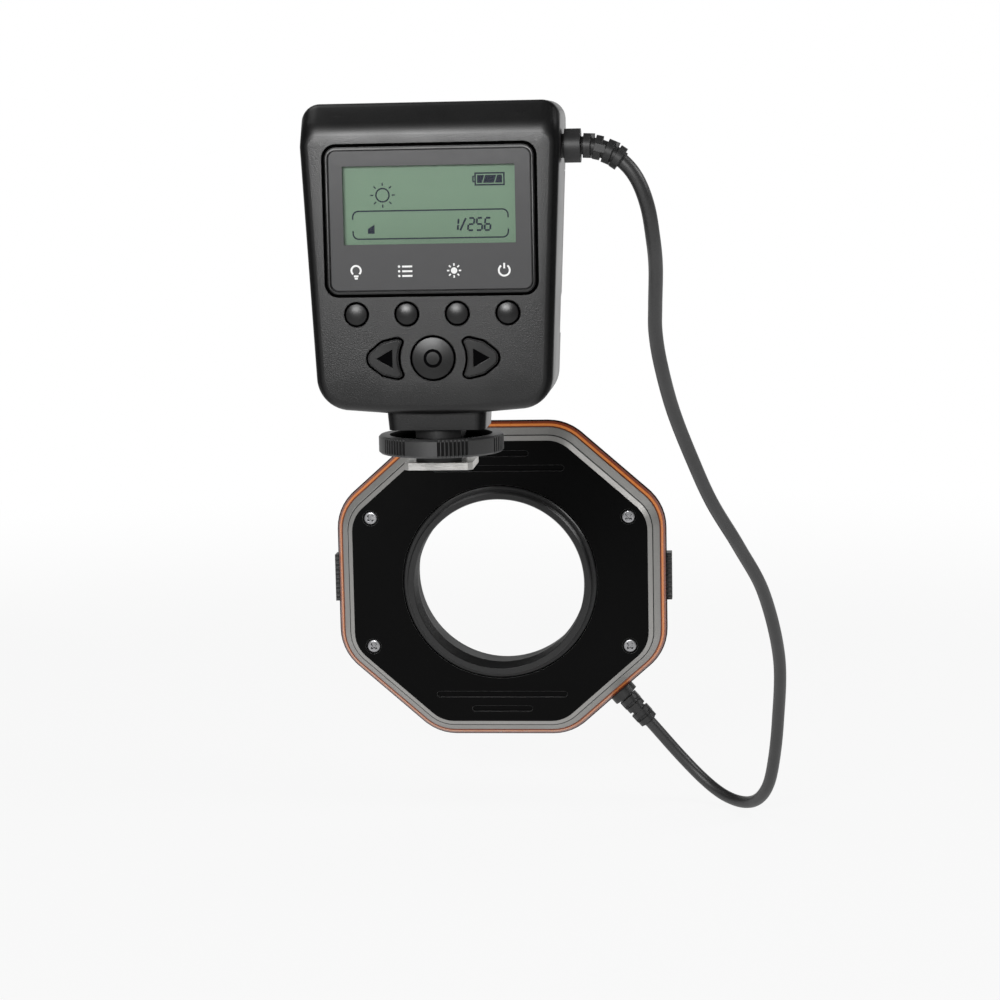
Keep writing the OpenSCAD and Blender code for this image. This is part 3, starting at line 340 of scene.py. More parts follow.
def case_look():
    """Grained black plastic, smooth on its rounded rims; painted shade turns it black in its grooves and
    holes.
    """
    level, roughness = 0.006, 0.345
    look = Look("case_plastic", grey(level), roughness)
    speck = look.noise(3100, detail=3)
    cloud = look.noise(60, detail=4)
    y, facing = look.axis("Y"), look.axis("Y", "Normal")
    aside = look.away(look.axis("X", "Normal"))
    inside = in_sockets(look)
    display = look.past(look.axis("Z"), KEYS_BELOW_Z, FADE)
    # Painted shade: black below the face in the grooves and holes
    deep_shade = look.times(inside, look.past(y, FACE_Y + DEEP_FROM, DEEP_FADE),
                      look.past(y, SOCKETS_BACK_Y, -BACK_FADE))
    skin = look.mottled(speck, grey(level), dark=0.6, light=1.6, start=0.35, end=0.72)
    look.colour(look.blend(deep_shade, skin, BLACK))
    rim = look.times(look.spread(aside, *FACE_TO_RIM), look.spread(aside, *SIDE_TO_RIM))
    hole_edge = look.times(inside, near_edge(look, look.rounded(KEY_EDGE)), look.between(display, 1.0, 0.0))
    dull = look.larger(look.larger(look.times(rim, RIM_DULL), deep_shade), hole_edge)
    shine = look.spread(aside, *RIM_TO_SIDE, SHEEN, SIDE_SHEEN)
    look.drive("Specular IOR Level", look.times(shine, look.between(dull, 1.0, 0.0)))
    look.rough(cloud, roughness - 0.03, roughness + 0.04)
    flat = look.spread(facing, *FLAT_TO_ROLLED, 1.0, 0.0)
    grain = look.times(speck, look.between(flat, RIM_GRAIN, 1.0))
    front, curved = look.past(y, FACE_Y + BEAD_FROM, -FADE), look.spread(facing, *FLAT_TO_CURVED)
    bead = look.times(front, BEAD_FLATTEN, curved, inside, display)
    skin_normal = look.bump(grain, look.rounded(0.16), depth=0.06)
    look.drive("Normal", soft_bend(look, flatter(look, skin_normal, bead)))
    return look


def key_look():
    """Smooth keys, dark at their lower edges and where they stand in their holes."""
    look = moulded("key_plastic", 0.005, 0.33)
    sunk = look.past(look.axis("Y"), FACE_Y, KEY_SUNK_FADE)
    low = look.past(look.axis("Y"), FACE_Y - KEY_LOW, FADE)
    edge = look.times(low, near_edge(look, look.rounded(KEY_EDGE)))
    look.drive("Specular IOR Level", look.between(look.larger(sunk, edge), KEY_SHEEN, 0.0))
    look.relief(look.noise(3200), look.rounded(0.25), depth=0.01)
    return look


# The lock ring: its rim inside and out, and the height of its grip between the chamfers
RING_RIM_R, RING_R = 14.05, 17.0
RING_LOW_Z, RING_HIGH_Z = 4.65, 8.45
RIM_FADE, GRIP_FADE = 0.15, 0.05
# How deep the painted shade in the grip's grooves starts, how fast it fades in, and how dark it gets
GROOVE_FROM, GROOVE_FADE, GROOVE_DARK = 0.1, 0.12, 0.8


def ring_look():
    """The lock ring: painted shade makes it dark within its rim and in the grooves of its grip, where little
    light reaches.
    """
    level, fine = 0.012, 3600
    look = moulded("ring_plastic", level, 0.48, grain=fine, depth=0.006)
    away, z = look.from_axis(), look.axis("Z")
    groove_shade = look.times(look.past(away, RING_R - GROOVE_FROM, -GROOVE_FADE), GROOVE_DARK,
                        look.past(z, RING_LOW_Z, GRIP_FADE), look.past(z, RING_HIGH_Z, -GRIP_FADE))
    # Painted shade: black within the rim and in the grip's grooves
    dark = look.larger(look.past(away, RING_RIM_R, -RIM_FADE), groove_shade)
    skin = look.mottled(look.noise(fine), grey(level), dark=0.75, light=4 / 3)
    look.colour(look.blend(dark, skin, BLACK))
    look.drive("Specular IOR Level", look.between(dark, RING_SHEEN, 0.0))
    return look


def metal(name, colour, roughness, lines=(1, 60, 60)):
    """Worked metal: drawn lines, worn sheen and broken edges."""
    look = Look(name, colour, roughness, Metallic=1.0)
    drawn = look.noise(240, detail=4, stretch=lines)
    cloud = look.noise(150, detail=3)
    look.colour(look.mottled(cloud, colour, dark=0.82, light=1.0, start=0.35, end=0.6))
    look.rough(drawn, roughness - 0.08, roughness + 0.12)
    look.relief(drawn, look.rounded(0.08), depth=0.004)
    return look


# Fine metallic paint: its flakes and their shades, and how metallic it is
FLAKES, FLAKE_SHADES, PAINT_METAL = 5200, (0.85, 1.12), 0.4
# Depth at which the head cover's bevel meets the housing, and the dark of that seam
SEAM_Y, SEAM_DARK = 161.55, (0.004, 0.004, 0.004, 1)
# The bevel's normal along Y, and how far a face may turn from it
BEVEL_NORMAL, BEVEL_TURN = -0.71, (0.12, 0.18)
# Lighter lips along the edges: painted highlight, and wear
LIT_AND_WORN_LIP = (0.10, 0.10, 0.10, 1)
BACK_SHEEN = 0.06


def head_cover_look():
    """The head's back: black, with lighter lips that are painted highlight and wear, and its bevel grey like
    the housing beside it, as painted reflection.
    """
    reflection_grey, black = (0.42, 0.411, 0.395), grey(0.002)
    look = Look("head_black", black, 0.4)
    bevel = look.spread(look.away(look.axis("Y", "Normal"), BEVEL_NORMAL), *BEVEL_TURN, 1.0, 0.0)
    flake = look.noise(FLAKES)
    rolled = look.rounded(0.18)
    lip = near_edge(look, rolled)
    # Lighter lips: painted highlight, and wear
    worn = look.blend(lip, look.mottled(flake, black, dark=0.8, light=1.4), LIT_AND_WORN_LIP)
    seam = look.past(look.axis("Y"), SEAM_Y, FADE)
    # The bevel's grey is painted reflection, dark at the seam where it meets the housing
    paint = look.blend(seam, look.mottled(flake, reflection_grey, *FLAKE_SHADES), SEAM_DARK)
    look.colour(look.blend(bevel, worn, paint))
    look.drive("Metallic", look.between(bevel, 0.0, PAINT_METAL))
    look.drive("Specular IOR Level", look.between(look.larger(bevel, lip), BACK_SHEEN, SHEEN))
    look.rough(look.noise(70, detail=4), low=0.36, high=0.46)
    look.relief(flake, rolled, depth=0.006)
    return look


def painted(name, colour, roughness):
    """Fine metallic paint; on the housing its grey is painted reflection."""
    look = Look(name, colour, roughness, Metallic=PAINT_METAL)
    flake = look.noise(FLAKES)
    look.colour(look.mottled(flake, colour, *FLAKE_SHADES))
    look.rough(look.noise(80, detail=3), roughness - 0.05, roughness + 0.07)
    look.relief(flake, look.rounded(0.1), depth=0.004)
    return look


def trim_look():
    """Orange band with painted light: a bright painted highlight where the band turns to the back, falling to
    painted shade in red-brown at its outer edge.
    """
    look = Look("trim_orange", (0.8, 0.2, 0.03), 0.3)
    depth = look.spread(look.axis("Y"), TRIM_LOW.y * MM, TRIM_HIGH.y * MM)
    # The bright orange stops are a painted highlight, and the red-brown to near black past them is painted
    # shade
    stops = ((0.0, (0.25, 0.05, 0.01)), (0.10, (1.0, 0.34, 0.085)), (0.36, (1.0, 0.30, 0.06)),
             (0.46, (0.34, 0.055, 0.008)), (0.92, (0.10, 0.014, 0.003)))
    look.colour(look.ramp(depth, *stops))
    look.rough(look.noise(300, detail=3), low=0.24, high=0.36)
    return look


def lcd_look():
    """Reflective display glass: grey-green, with a faint uneven cast."""
    green = (0.140, 0.232, 0.150)
    look = Look("lcd_glass", green, 0.3, Specular_IOR_Level=0.15)
    look.colour(look.mottled(look.noise(45), green, dark=0.93, light=1.06, start=0.25, end=0.75))
    look.rough(look.noise(900), low=0.26, high=0.36)
    return look


def window_look():
    """The printed border behind the display window."""
    print_grey = grey(0.078)
    look = Look("display_window", print_grey, 0.16)
    look.colour(look.mottled(look.noise(70, detail=3), print_grey, dark=0.98, light=1.02))
    look.rough(look.noise(400, detail=3), low=0.17, high=0.19)
    return look


def clear_look(name, alpha, shine):
    look = Look(name, (0.9, 0.93, 0.95), 0.06, Alpha=alpha, Specular_IOR_Level=shine)
    look.rough(look.noise(120, detail=3), low=0.03, high=0.1)
    return look


def ink(name, colour, shine):
    """Printed or etched marks, a little uneven as screen print is."""
    look = Look(name, colour, 0.5, Specular_IOR_Level=shine)
    look.colour(look.mottled(look.noise(3000), colour, dark=0.86, light=1.0, end=0.6))
    return look


def board_look(name, mask, copper):
    """A circuit board: solder mask over faint traces."""
    look = Look(name, mask, 0.4)
    inputs = {"Vector": look.place["Object"], "Scale": 420.0}
    cells = look.node("TexVoronoi", inputs, distance="MANHATTAN", feature="DISTANCE_TO_EDGE")[0]
    look.colour(look.ramp(cells, (0.0, copper), (0.12, mask)))
    look.relief(look.noise(900), look.rounded(0.1), depth=0.01)
    return look


def cell_look():
    """A battery's plain sleeve: dark below, coppery above."""
    look = Look("cell_wrap", (0.35, 0.17, 0.05), 0.3)
    height = look.spread(look.axis("Z"), CELL_LOW.z * MM, CELL_HIGH.z * MM)
    look.colour(look.ramp(height, (0.0, (0.012, 0.012, 0.013)), (0.62, (0.015, 0.015, 0.016)),
                          (0.66, (0.40, 0.19, 0.06)), (1.0, (0.44, 0.22, 0.07))))
    look.rough(look.noise(200, detail=3), low=0.22, high=0.36)
    return look


def led_look():
    """Light chips: a white body with a warm yellow lens."""
    look = Look("led_lens", (0.9, 0.8, 0.45), 0.16, Specular_IOR_Level=0.7)
    depth = look.spread(look.axis("Y"), LED_LOW.y * MM, LED_HIGH.y * MM)
    look.colour(look.ramp(depth, (0.30, (0.82, 0.82, 0.79)), (0.40, (0.90, 0.74, 0.22)),
                          (1.0, (0.93, 0.86, 0.52))))
    look.rough(look.noise(800), low=0.10, high=0.2)
    return look


# Metres between the waves of a wave texture of scale 1
WAVE_LENGTH = 0.314


def ridged(name, level, roughness, axis, pitch, depth):
    """Moulded plastic with grip lines across one axis."""
    look = moulded(name, level, roughness)
    inputs = {"Vector": look.place["Object"], "Scale": WAVE_LENGTH / (pitch * MM)}
    wave = look.node("TexWave", inputs, bands_direction=axis, wave_profile="SIN")[1]
    look.relief(wave, look.rounded(0.2), depth)
    return look


# Looks by the slots that they are named after
LOOKS = {look.slot: look for look in (
    case_look(), window_look(), lcd_look(), key_look(), cell_look(), ring_look(), head_cover_look(),
    trim_look(), led_look(),
    moulded("backlight_white", 0.75, 0.5, depth=0.005),
    board_look("board_green", mask=(0.012, 0.085, 0.03), copper=(0.03, 0.13, 0.05)),
    moulded("switch_black", 0.02, 0.5),
    metal("screw_steel", (0.42, 0.42, 0.43), 0.3, lines=(40, 1, 40)),
    metal("spring_steel", (0.6, 0.6, 0.6), 0.25),
    moulded("post_alloy", 0.012, 0.4, grain=1500, depth=0.006),
    metal("foot_steel", (0.62, 0.61, 0.59), 0.3, lines=(2, 60, 60)),
    metal("contact_brass", (0.78, 0.55, 0.24), 0.25),
    moulded("relief_rubber", 0.014, 0.48, grain=3000, depth=0.012, edge=0.35),
    moulded("cord_rubber", 0.014, 0.46, grain=1900, depth=0.012, Specular_IOR_Level=0.7),
    # The housing's grey is painted reflection, as on the cover's bevel beside it
    painted("head_grey", (0.36, 0.353, 0.338), 0.4),
    clear_look("window_clear", alpha=0.08, shine=0.8),
    board_look("led_board_white", mask=(0.78, 0.78, 0.76), copper=(0.70, 0.71, 0.70)),
    moulded("adapter_black", 0.010, 0.32, grain=2200, depth=0.004, edge=0.15),
    ridged("latch_plastic", 0.014, 0.42, axis="Z", pitch=1.6, depth=0.25),
)}
PANE = clear_look("pane", alpha=0.02, shine=0.4)
WHITE_INK = ink("white_ink", (0.86, 0.86, 0.85), shine=0.5)
LCD_INK = ink("lcd_ink", (0.008, 0.013, 0.028), shine=0.0)
DARK_INK = ink("dark_ink", (0.003, 0.003, 0.0033), shine=0.0)

# Edges that meet at less than this angle shade as one surface, in degrees
SMOOTH_BELOW = 32
# Corners of packed triangles closer than this are one
MERGE_BELOW = 0.002


def shading_group():
    """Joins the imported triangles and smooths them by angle, without moving any."""
    group = bpy.data.node_groups.new("tidy_shading", "GeometryNodeTree")
    for way in ("INPUT", "OUTPUT"):
        group.interface.new_socket("Geometry", in_out=way, socket_type="NodeSocketGeometry")
    start = new_node(group, "NodeGroupInput")[0]
    near = {0: start, "Distance": MERGE_BELOW * MM}
    joined = new_node(group, "GeometryNodeMergeByDistance", near)[0]
    smooth = new_node(group, "GeometryNodeSetShadeSmooth", {0: joined}, domain="FACE")[0]
    angle = new_node(group, "GeometryNodeInputMeshEdgeAngle")["Unsigned Angle"]
    sharp = new_node(group, "FunctionNodeCompare", {0: angle, 1: math.radians(SMOOTH_BELOW)})[0]
    inputs = {0: smooth, "Selection": sharp, "Shade Smooth": False}
    edges = new_node(group, "GeometryNodeSetShadeSmooth", inputs, domain="EDGE")[0]
    new_node(group, "NodeGroupOutput", {0: edges})
    return group


def finish_cad_nodes():
    """Every CAD node gets its slot's look and tidy shading."""
    group = shading_group()
    for node in nodes.values():
        slot = node.data.materials[0].name
        node.data.materials[0] = LOOKS[slot].mat
        if "custom_normal" in node.data.attributes:
            node.data.attributes.remove(node.data.attributes["custom_normal"])
        node.modifiers.new("tidy_shading", "NODES").node_group = group


# Mesh helpers
def add_piece(name, mesh, look, body, replaces=()):
    mesh.materials.append(look.mat)
    piece = bpy.data.objects.new(name, mesh)
    bpy.context.scene.collection.objects.link(piece)
    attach(piece, body)
    if replaces:
        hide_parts(*replaces)
    return piece


def to_mesh(name, bm):
    bmesh.ops.recalc_face_normals(bm, faces=bm.faces)
    mesh = bpy.data.meshes.new(name)
    bm.to_mesh(mesh)
    bm.free()
    mesh.polygons.foreach_set("use_smooth", [True] * len(mesh.polygons))
    mesh.set_sharp_from_angle(angle=math.radians(SMOOTH_BELOW))
    return mesh


def band(bm, a, b):
    """Faces between two rings of corners."""
    for i in range(len(a)):
        j = (i + 1) % len(a)
        bm.faces.new((a[i], a[j], b[j], b[i]))


def bridge(bm, loops, closed):
    """Joins loops of points into one skin: the last to the first if closed, or else capped at both ends."""
    rings = [[bm.verts.new(Vector(p) * MM) for p in loop] for loop in loops]
    for a, b in zip(rings, rings[1:] + (rings[:1] if closed else [])):
        band(bm, a, b)
    if not closed:
        bm.faces.new(rings[0][::-1])
        bm.faces.new(rings[-1])


def add_skins(name, skins, look, body, replaces=(), closed=False):
    """A piece of one or more skins, each given by its loops."""
    bm = bmesh.new()
    for loops in skins:
        bridge(bm, loops, closed)
    return add_piece(name, to_mesh(name, bm), look, body, replaces)


def even_angles(count):
    return [2 * math.pi * i / count for i in range(count)]


CORNER_STEPS = 10


def rounded_rect(cx, cz, w, h, r):
    """An outline in the XZ plane, as (x, z) points."""
    points = []
    for turn, (sx, sz) in enumerate(((1, 1), (-1, 1), (-1, -1), (1, -1))):
        x, z = cx + sx * (w / 2 - r), cz + sz * (h / 2 - r)
        points += arc(x, z, r, 90 * turn, 90 * turn + 90, CORNER_STEPS)
    return points


def at_depth(outline, y):
    return [(x, y, z) for x, z in outline]


# Flat marks, drawn in the XZ plane and stood on a face that looks to -Y
# A mitred joint reaches no further out than a joint with this cosine
MITRE_LIMIT = 0.35


def stroke(points, width, closed=False):
    """A line of even width through points, as quads with mitred joints."""
    spots = [Vector(p) for p in points]
    ways = [(b - a).normalized() for a, b in zip(spots, spots[1:] + spots[:1])]
    if not closed:
        ways[-1] = ways[-2]
    sides = []
    for i, here in enumerate(spots):
        a, b = ways[i - 1 if closed or i else 0], ways[i]
        across = Vector((-(a + b).y, (a + b).x)).normalized()
        reach = width / 2 / max(MITRE_LIMIT, across.dot(Vector((-a.y, a.x))))
        sides.append((here + across * reach, here - across * reach))
    pairs = zip(sides, sides[1:] + (sides[:1] if closed else []))
    return [[a[0], b[0], b[1], a[1]] for a, b in pairs]


def arc(cx, cz, r, start, end, steps=24):
    """Points along an arc whose ends are given in degrees."""
    angles = [math.radians(start + (end - start) * i / steps) for i in range(steps + 1)]
    return [(cx + r * math.cos(a), cz + r * math.sin(a)) for a in angles]


def circle(cx, cz, r, width, steps=32):
    return stroke(arc(cx, cz, r, 0, 360, steps)[:-1], width, closed=True)


def disc(cx, cz, r):
    return [arc(cx, cz, r, 0, 360)[:-1]]


def rays(cx, cz, inner, outer, width, count=8):
    marks = []
    for a in even_angles(count):
        c, s = math.cos(a), math.sin(a)
        marks += stroke([(cx + inner * c, cz + inner * s), (cx + outer * c, cz + outer * s)], width)
    return marks


def shifted(marks, dx, dz):
    return [[(p[0] + dx, p[1] + dz) for p in mark] for mark in marks]


def print_marks(name, marks, y, look, body, height):
    """Stands flat polygons on the face at depth y."""
    bm = bmesh.new()
    for mark in marks:
        front = [bm.verts.new(Vector((p[0], y - height, p[1])) * MM) for p in mark]
        back = [bm.verts.new(Vector((p[0], y + height, p[1])) * MM) for p in mark]
        bm.faces.new(front)
        band(bm, front, back)
    add_piece(name, to_mesh(name, bm), look, body)


# Display: the screen's clear opening in the window, and the window's corner and broken edge
SCREEN_W, SCREEN_H, SCREEN_R = 45.7, 20.6, 0.25
SCREEN_X = -0.25
SCREEN_Z = (LCD_LOW.z + LCD_HIGH.z) / 2
WINDOW_Z = (WINDOW_LOW.z + WINDOW_HIGH.z) / 2
WINDOW_R, WINDOW_EDGE = 2.02, 0.18
PANE_GAP = 0.02


def add_window():
    """The display window: a printed border round a clear pane."""
    w, h = WINDOW_HIGH.x - WINDOW_LOW.x, WINDOW_HIGH.z - WINDOW_LOW.z
    front, back = WINDOW_LOW.y, WINDOW_HIGH.y
    outer = rounded_rect(0, WINDOW_Z, w, h, WINDOW_R)
    lip = rounded_rect(0, WINDOW_Z, w - 2 * WINDOW_EDGE, h - 2 * WINDOW_EDGE, WINDOW_R - WINDOW_EDGE)
    hole = rounded_rect(SCREEN_X, SCREEN_Z, SCREEN_W, SCREEN_H, SCREEN_R)
    border = [at_depth(hole, back), at_depth(hole, front), at_depth(lip, front),
              at_depth(outer, front + WINDOW_EDGE), at_depth(outer, back)]
    add_skins("window_border", [border], LOOKS["display_window"], "body",
              ["display_window"], closed=True)
    pane = rounded_rect(SCREEN_X, SCREEN_Z, SCREEN_W - 2 * PANE_GAP, SCREEN_H - 2 * PANE_GAP, SCREEN_R)
    add_skins("window_pane", [[at_depth(pane, back), at_depth(pane, front)]], PANE, "body")


# Signs on the display: places to the right of and below the screen's upper left corner, and sizes
SUN_AT, SUN_R, SUN_LINE = (10.4, 7.7), 1.75, 0.375
RAY_FROM, RAY_TO, RAY_LINE = 2.45, 3.3, 0.325
BATTERY_AT, BATTERY_W, BATTERY_H, BATTERY_LINE = (35.1, 5.45), 7.6, 3.06, 0.4
# The battery's tip, and the slanting bars in it with the places of the slits between
TIP_W, TIP_INSET, TIP_LINE = 0.6, 0.85, 0.35
BAR_INSET, BAR_SLIT, BAR_LEAN, BAR_SPLITS = 0.5, 0.13, 0.31, (0.29, 0.71)
# The frame round the reading, with open sides
FRAME_AT, FRAME_W, FRAME_H, FRAME_LINE = (2.3, 19.2), 41.3, 7.35, 0.375
FRAME_R, FRAME_STEPS, FRAME_SIDE = 1.5, 8, 2.2
# The level wedge
WEDGE_AT, WEDGE_W, WEDGE_LEFT, WEDGE_RIGHT = (6.25, 17.8), 1.8, 1.3, 2.4
# The fraction, in seven-stroke digits
FRACTION_AT, SLASH_FROM, SLASH_TO, DIGITS_FROM = (30.2, 17.3), 0.65, 2.2, 2.7
DIGIT_W, DIGIT_H, DIGIT_PITCH, DIGIT_LINE, DIGIT_GAP, DIGIT_SLANT = 1.5, 3.2, 2.2, 0.5, 0.15, 0.09
# Which strokes a digit lights: top, upper right, lower right, bottom, lower left, upper left, middle
DIGITS = {"1": "bc", "2": "abged", "5": "afgcd", "6": "acdefg"}


def on_screen(place):
    return SCREEN_X - SCREEN_W / 2 + place[0], SCREEN_Z + SCREEN_H / 2 - place[1]


def digit(which, x, z):
    """A seven-stroke digit whose lower left corner is at x, z."""
    w, h, half, gap = DIGIT_W, DIGIT_H, DIGIT_H / 2, DIGIT_GAP
    spots = {"a": ((gap, h), (w - gap, h)), "b": ((w, h - gap), (w, half + gap)),
             "c": ((w, half - gap), (w, gap)), "d": ((gap, 0), (w - gap, 0)),
             "e": ((0, gap), (0, half - gap)), "f": ((0, half + gap), (0, h - gap)),
             "g": ((gap, half), (w - gap, half))}
    marks = []
    for name in DIGITS[which]:
        marks += stroke([(x + px + DIGIT_SLANT * pz, z + pz) for px, pz in spots[name]], DIGIT_LINE)
    return marks


def lcd_sun():
    x, z = on_screen(SUN_AT)
    return circle(x, z, SUN_R, SUN_LINE) + rays(x, z, RAY_FROM, RAY_TO, RAY_LINE)


def lcd_battery():
    x, z = on_screen(BATTERY_AT)
    right, top = x + BATTERY_W, z + BATTERY_H
    marks = stroke([(x, z), (right, z), (right, top), (x, top)], BATTERY_LINE, closed=True)
    tip, low, high = x - TIP_W, z + TIP_INSET, top - TIP_INSET
    marks += stroke([(x, low), (tip, low), (tip, high), (x, high)], TIP_LINE)
    low, high = z + BAR_INSET, top - BAR_INSET
    slits = [(x + share * BATTERY_W, BAR_SLIT, BAR_LEAN) for share in BAR_SPLITS]
    ends = [(x + BAR_INSET, 0, 0), *slits, (right - BAR_INSET, 0, 0)]
    for (a, gap_a, lean_a), (b, gap_b, lean_b) in zip(ends, ends[1:]):
        a, b = a + gap_a, b - gap_b
        marks.append([(a - lean_a, low), (b - lean_b, low), (b + lean_b, high), (a + lean_a, high)])
    return marks


def lcd_frame():
    x, z = on_screen(FRAME_AT)
    right = x + FRAME_W
    marks = []
    for base, rise, start in ((z, 1, 270), (z + FRAME_H, -1, 90)):
        turn, end = base + rise * FRAME_R, base + rise * FRAME_SIDE
        first = arc(x + FRAME_R, turn, FRAME_R, 180, 180 + rise * 90, FRAME_STEPS)
        second = arc(right - FRAME_R, turn, FRAME_R, start, start + rise * 90, FRAME_STEPS)
        marks += stroke([(x, end), *first, *second, (right, end)], FRAME_LINE)
    return marks


def lcd_wedge():
    x, z = on_screen(WEDGE_AT)
    return [[(x, z), (x + WEDGE_W, z), (x + WEDGE_W, z + WEDGE_RIGHT), (x, z + WEDGE_LEFT)]]


def lcd_fraction():
    x, z = on_screen(FRACTION_AT)
    marks = digit("1", x - DIGIT_W, z)
    marks += stroke([(x + SLASH_FROM, z), (x + SLASH_TO, z + DIGIT_H)], DIGIT_LINE)
    for i, which in enumerate("256"):
        marks += digit(which, x + DIGITS_FROM + i * DIGIT_PITCH, z)
    return marks


def add_lcd_symbols():
    """Plain signs on the display: a sun, a battery, a level wedge in a frame, and a share of full output."""
    marks = lcd_sun() + lcd_battery() + lcd_frame() + lcd_wedge() + lcd_fraction()
    print_marks("lcd_symbols", marks, LCD_LOW.y, LCD_INK, "body", height=0.015)


# Legends over the four round keys: plain signs in place of the words
LEGEND_Z = 53.8
LEGEND_LINE, LEGEND_RAY = 0.5, 0.4


def legend_lamp():
    """A bulb over the two bars of its cap."""
    bulb = arc(0, 0.35, r=1.25, start=-50, end=230)
    bars = [(-0.62, -1.15), (0.62, -1.15)], [(-0.4, -1.75), (0.4, -1.75)]
    return [quad for line in (bulb, *bars) for quad in stroke(line, LEGEND_LINE)]


def legend_list():
    """Three lines with a dot before each."""
    marks = []
    for z in (1.25, 0, -1.25):
        marks += disc(-1.6, z, r=0.32) + stroke([(-0.8, z), (1.9, z)], LEGEND_LINE)
    return marks


def legend_sun():
    return disc(0, 0, r=0.85) + rays(0, 0, inner=1.25, outer=1.9, width=LEGEND_RAY)


def legend_power():
    """A ring that is open at its top, where a bar stands."""
    ring = arc(0, -0.1, r=1.45, start=125, end=415, steps=32)
    return stroke(ring, LEGEND_LINE) + stroke([(0, 0.35), (0, 1.8)], LEGEND_LINE)


LEGENDS = {"legend_lamp": (legend_lamp, -20.0), "legend_list": (legend_list, -6.9),
           "legend_sun": (legend_sun, 6.1), "legend_power": (legend_power, 19.4)}


def add_legends():
    for name, (sign, x) in LEGENDS.items():
        print_marks(name, shifted(sign(), x, LEGEND_Z), WINDOW_LOW.y, WHITE_INK, "body",
                    height=0.012)


# Signs in the keys: the arrows' recesses, and how far their inlays keep from base, tip and sides
ARROW_X, ARROW_W, ARROW_H, ARROW_DEPTH = 13.0, 4.4, 5.0, 0.35
BASE_INSET, TIP_INSET_X, SIDE_INSET = 0.06, 0.15, 0.12
# The middle key: its cap, how much flatter than a full dome it is, and the ring on it
SET_Z = (SET_LOW.z + SET_HIGH.z) / 2
SET_CAP_R, SET_DOME = 5.55, 0.6
SET_MARK_R, SET_MARK_LINE, SET_MARK_STEPS = 2.1, 0.75, 40


def add_key_marks():
    """Dark inlays in the arrow recesses, and a plain ring on the middle key."""
    floor = FACE_Y - KEY_PROUD + ARROW_DEPTH
    half = ARROW_H / 2 - SIDE_INSET
    for name, body, way in (("left_arrow", "left_key", -1), ("right_arrow", "right_key", 1)):
        base = way * (ARROW_X - ARROW_W / 2 + BASE_INSET)
        tip = way * (ARROW_X + ARROW_W / 2 - TIP_INSET_X)
        marks = [[(tip, SET_Z), (base, SET_Z + half), (base, SET_Z - half)]]
        print_marks(name, marks, floor, DARK_INK, body, height=0.02)
    dome = (SET_CAP_R * SET_CAP_R + KEY_PROUD * KEY_PROUD) / (2 * KEY_PROUD) / SET_DOME
    crown = SET_LOW.y + dome - math.sqrt(dome * dome - SET_MARK_R * SET_MARK_R)
    ring = circle(0, SET_Z, SET_MARK_R, SET_MARK_LINE, SET_MARK_STEPS)
    print_marks("set_ring", ring, crown, DARK_INK, "set_key", height=0.05)


# Screws with cross recesses, which are shares of the head's radius and thickness
RECESS_STEPS = 40
CROSS_ARM, CROSS_HALF_W, CROSS_TAPER, CROSS_DEEP = 0.62, 0.17, 0.7, 0.75
CROSS_LIP = 0.04
# The head's rounding, and where it passes; the shaft's point
DISH, SHOULDER_R, SHOULDER_Y, CROWN_R = 0.25, 0.9, 0.3, 0.72
POINT_R, POINT_FROM = 0.3, 0.9
# Radius and thickness of each set's heads, radius and length of its shafts
HEAD_SCREW, CASE_SCREW, FOOT_SCREW = (2.2, 1.0, 1.1, 11.9), (2.2, 0.65, 1.1, 8.0), (1.45, 0.5, 0.8, 3.9)
# How far the screws' middles lie within the boxes of their nodes
SCREW_INSET, FOOT_INSET = 2.2, 1.5
# The two upper case screws
BROW_SCREW_X, BROW_SCREW_Y = 24, 1.3


def cross_outline(arm, half_w):
    """A plus sign as distances from its centre, one for each step round it."""
    reach = []
    for a in even_angles(RECESS_STEPS):
        a = min(a % (math.pi / 2), math.pi / 2 - a % (math.pi / 2))
        c, s = math.cos(a), math.sin(a)
        reach.append(min(arm / c, half_w / s) if s > 1e-6 else arm)
    return reach


def screw_loops(centre, out, head_r, head_t, shaft_r, shaft_l):
    """Loops of a pan-head screw: its head's face is at centre and looks along out."""
    out = Vector(out)
    u = out.orthogonal().normalized()
    v = out.cross(u)
    spokes = [u * math.cos(a) + v * math.sin(a) for a in even_angles(RECESS_STEPS)]
    cross = cross_outline(head_r * CROSS_ARM, head_r * CROSS_HALF_W)

    def loop(radii, depth):
        return [Vector(centre) + spoke * r - out * depth for spoke, r in zip(spokes, radii)]

    def ring(r, depth):
        return loop([r] * RECESS_STEPS, depth)

    return [ring(shaft_r * POINT_R, head_t + shaft_l), ring(shaft_r, head_t + shaft_l * POINT_FROM),
            ring(shaft_r, head_t), ring(head_r, head_t), ring(head_r, DISH),
            ring(head_r * SHOULDER_R, DISH * SHOULDER_Y), ring(head_r * CROWN_R, 0.0),
            loop(cross, CROSS_LIP), loop(scaled(cross, CROSS_TAPER), head_t * CROSS_DEEP)]


def add_screws(name, node, places, out, sizes):
    skins = [screw_loops(centre, out, *sizes) for centre in places]
    add_skins(name, skins, LOOKS["screw_steel"], "body", [node])


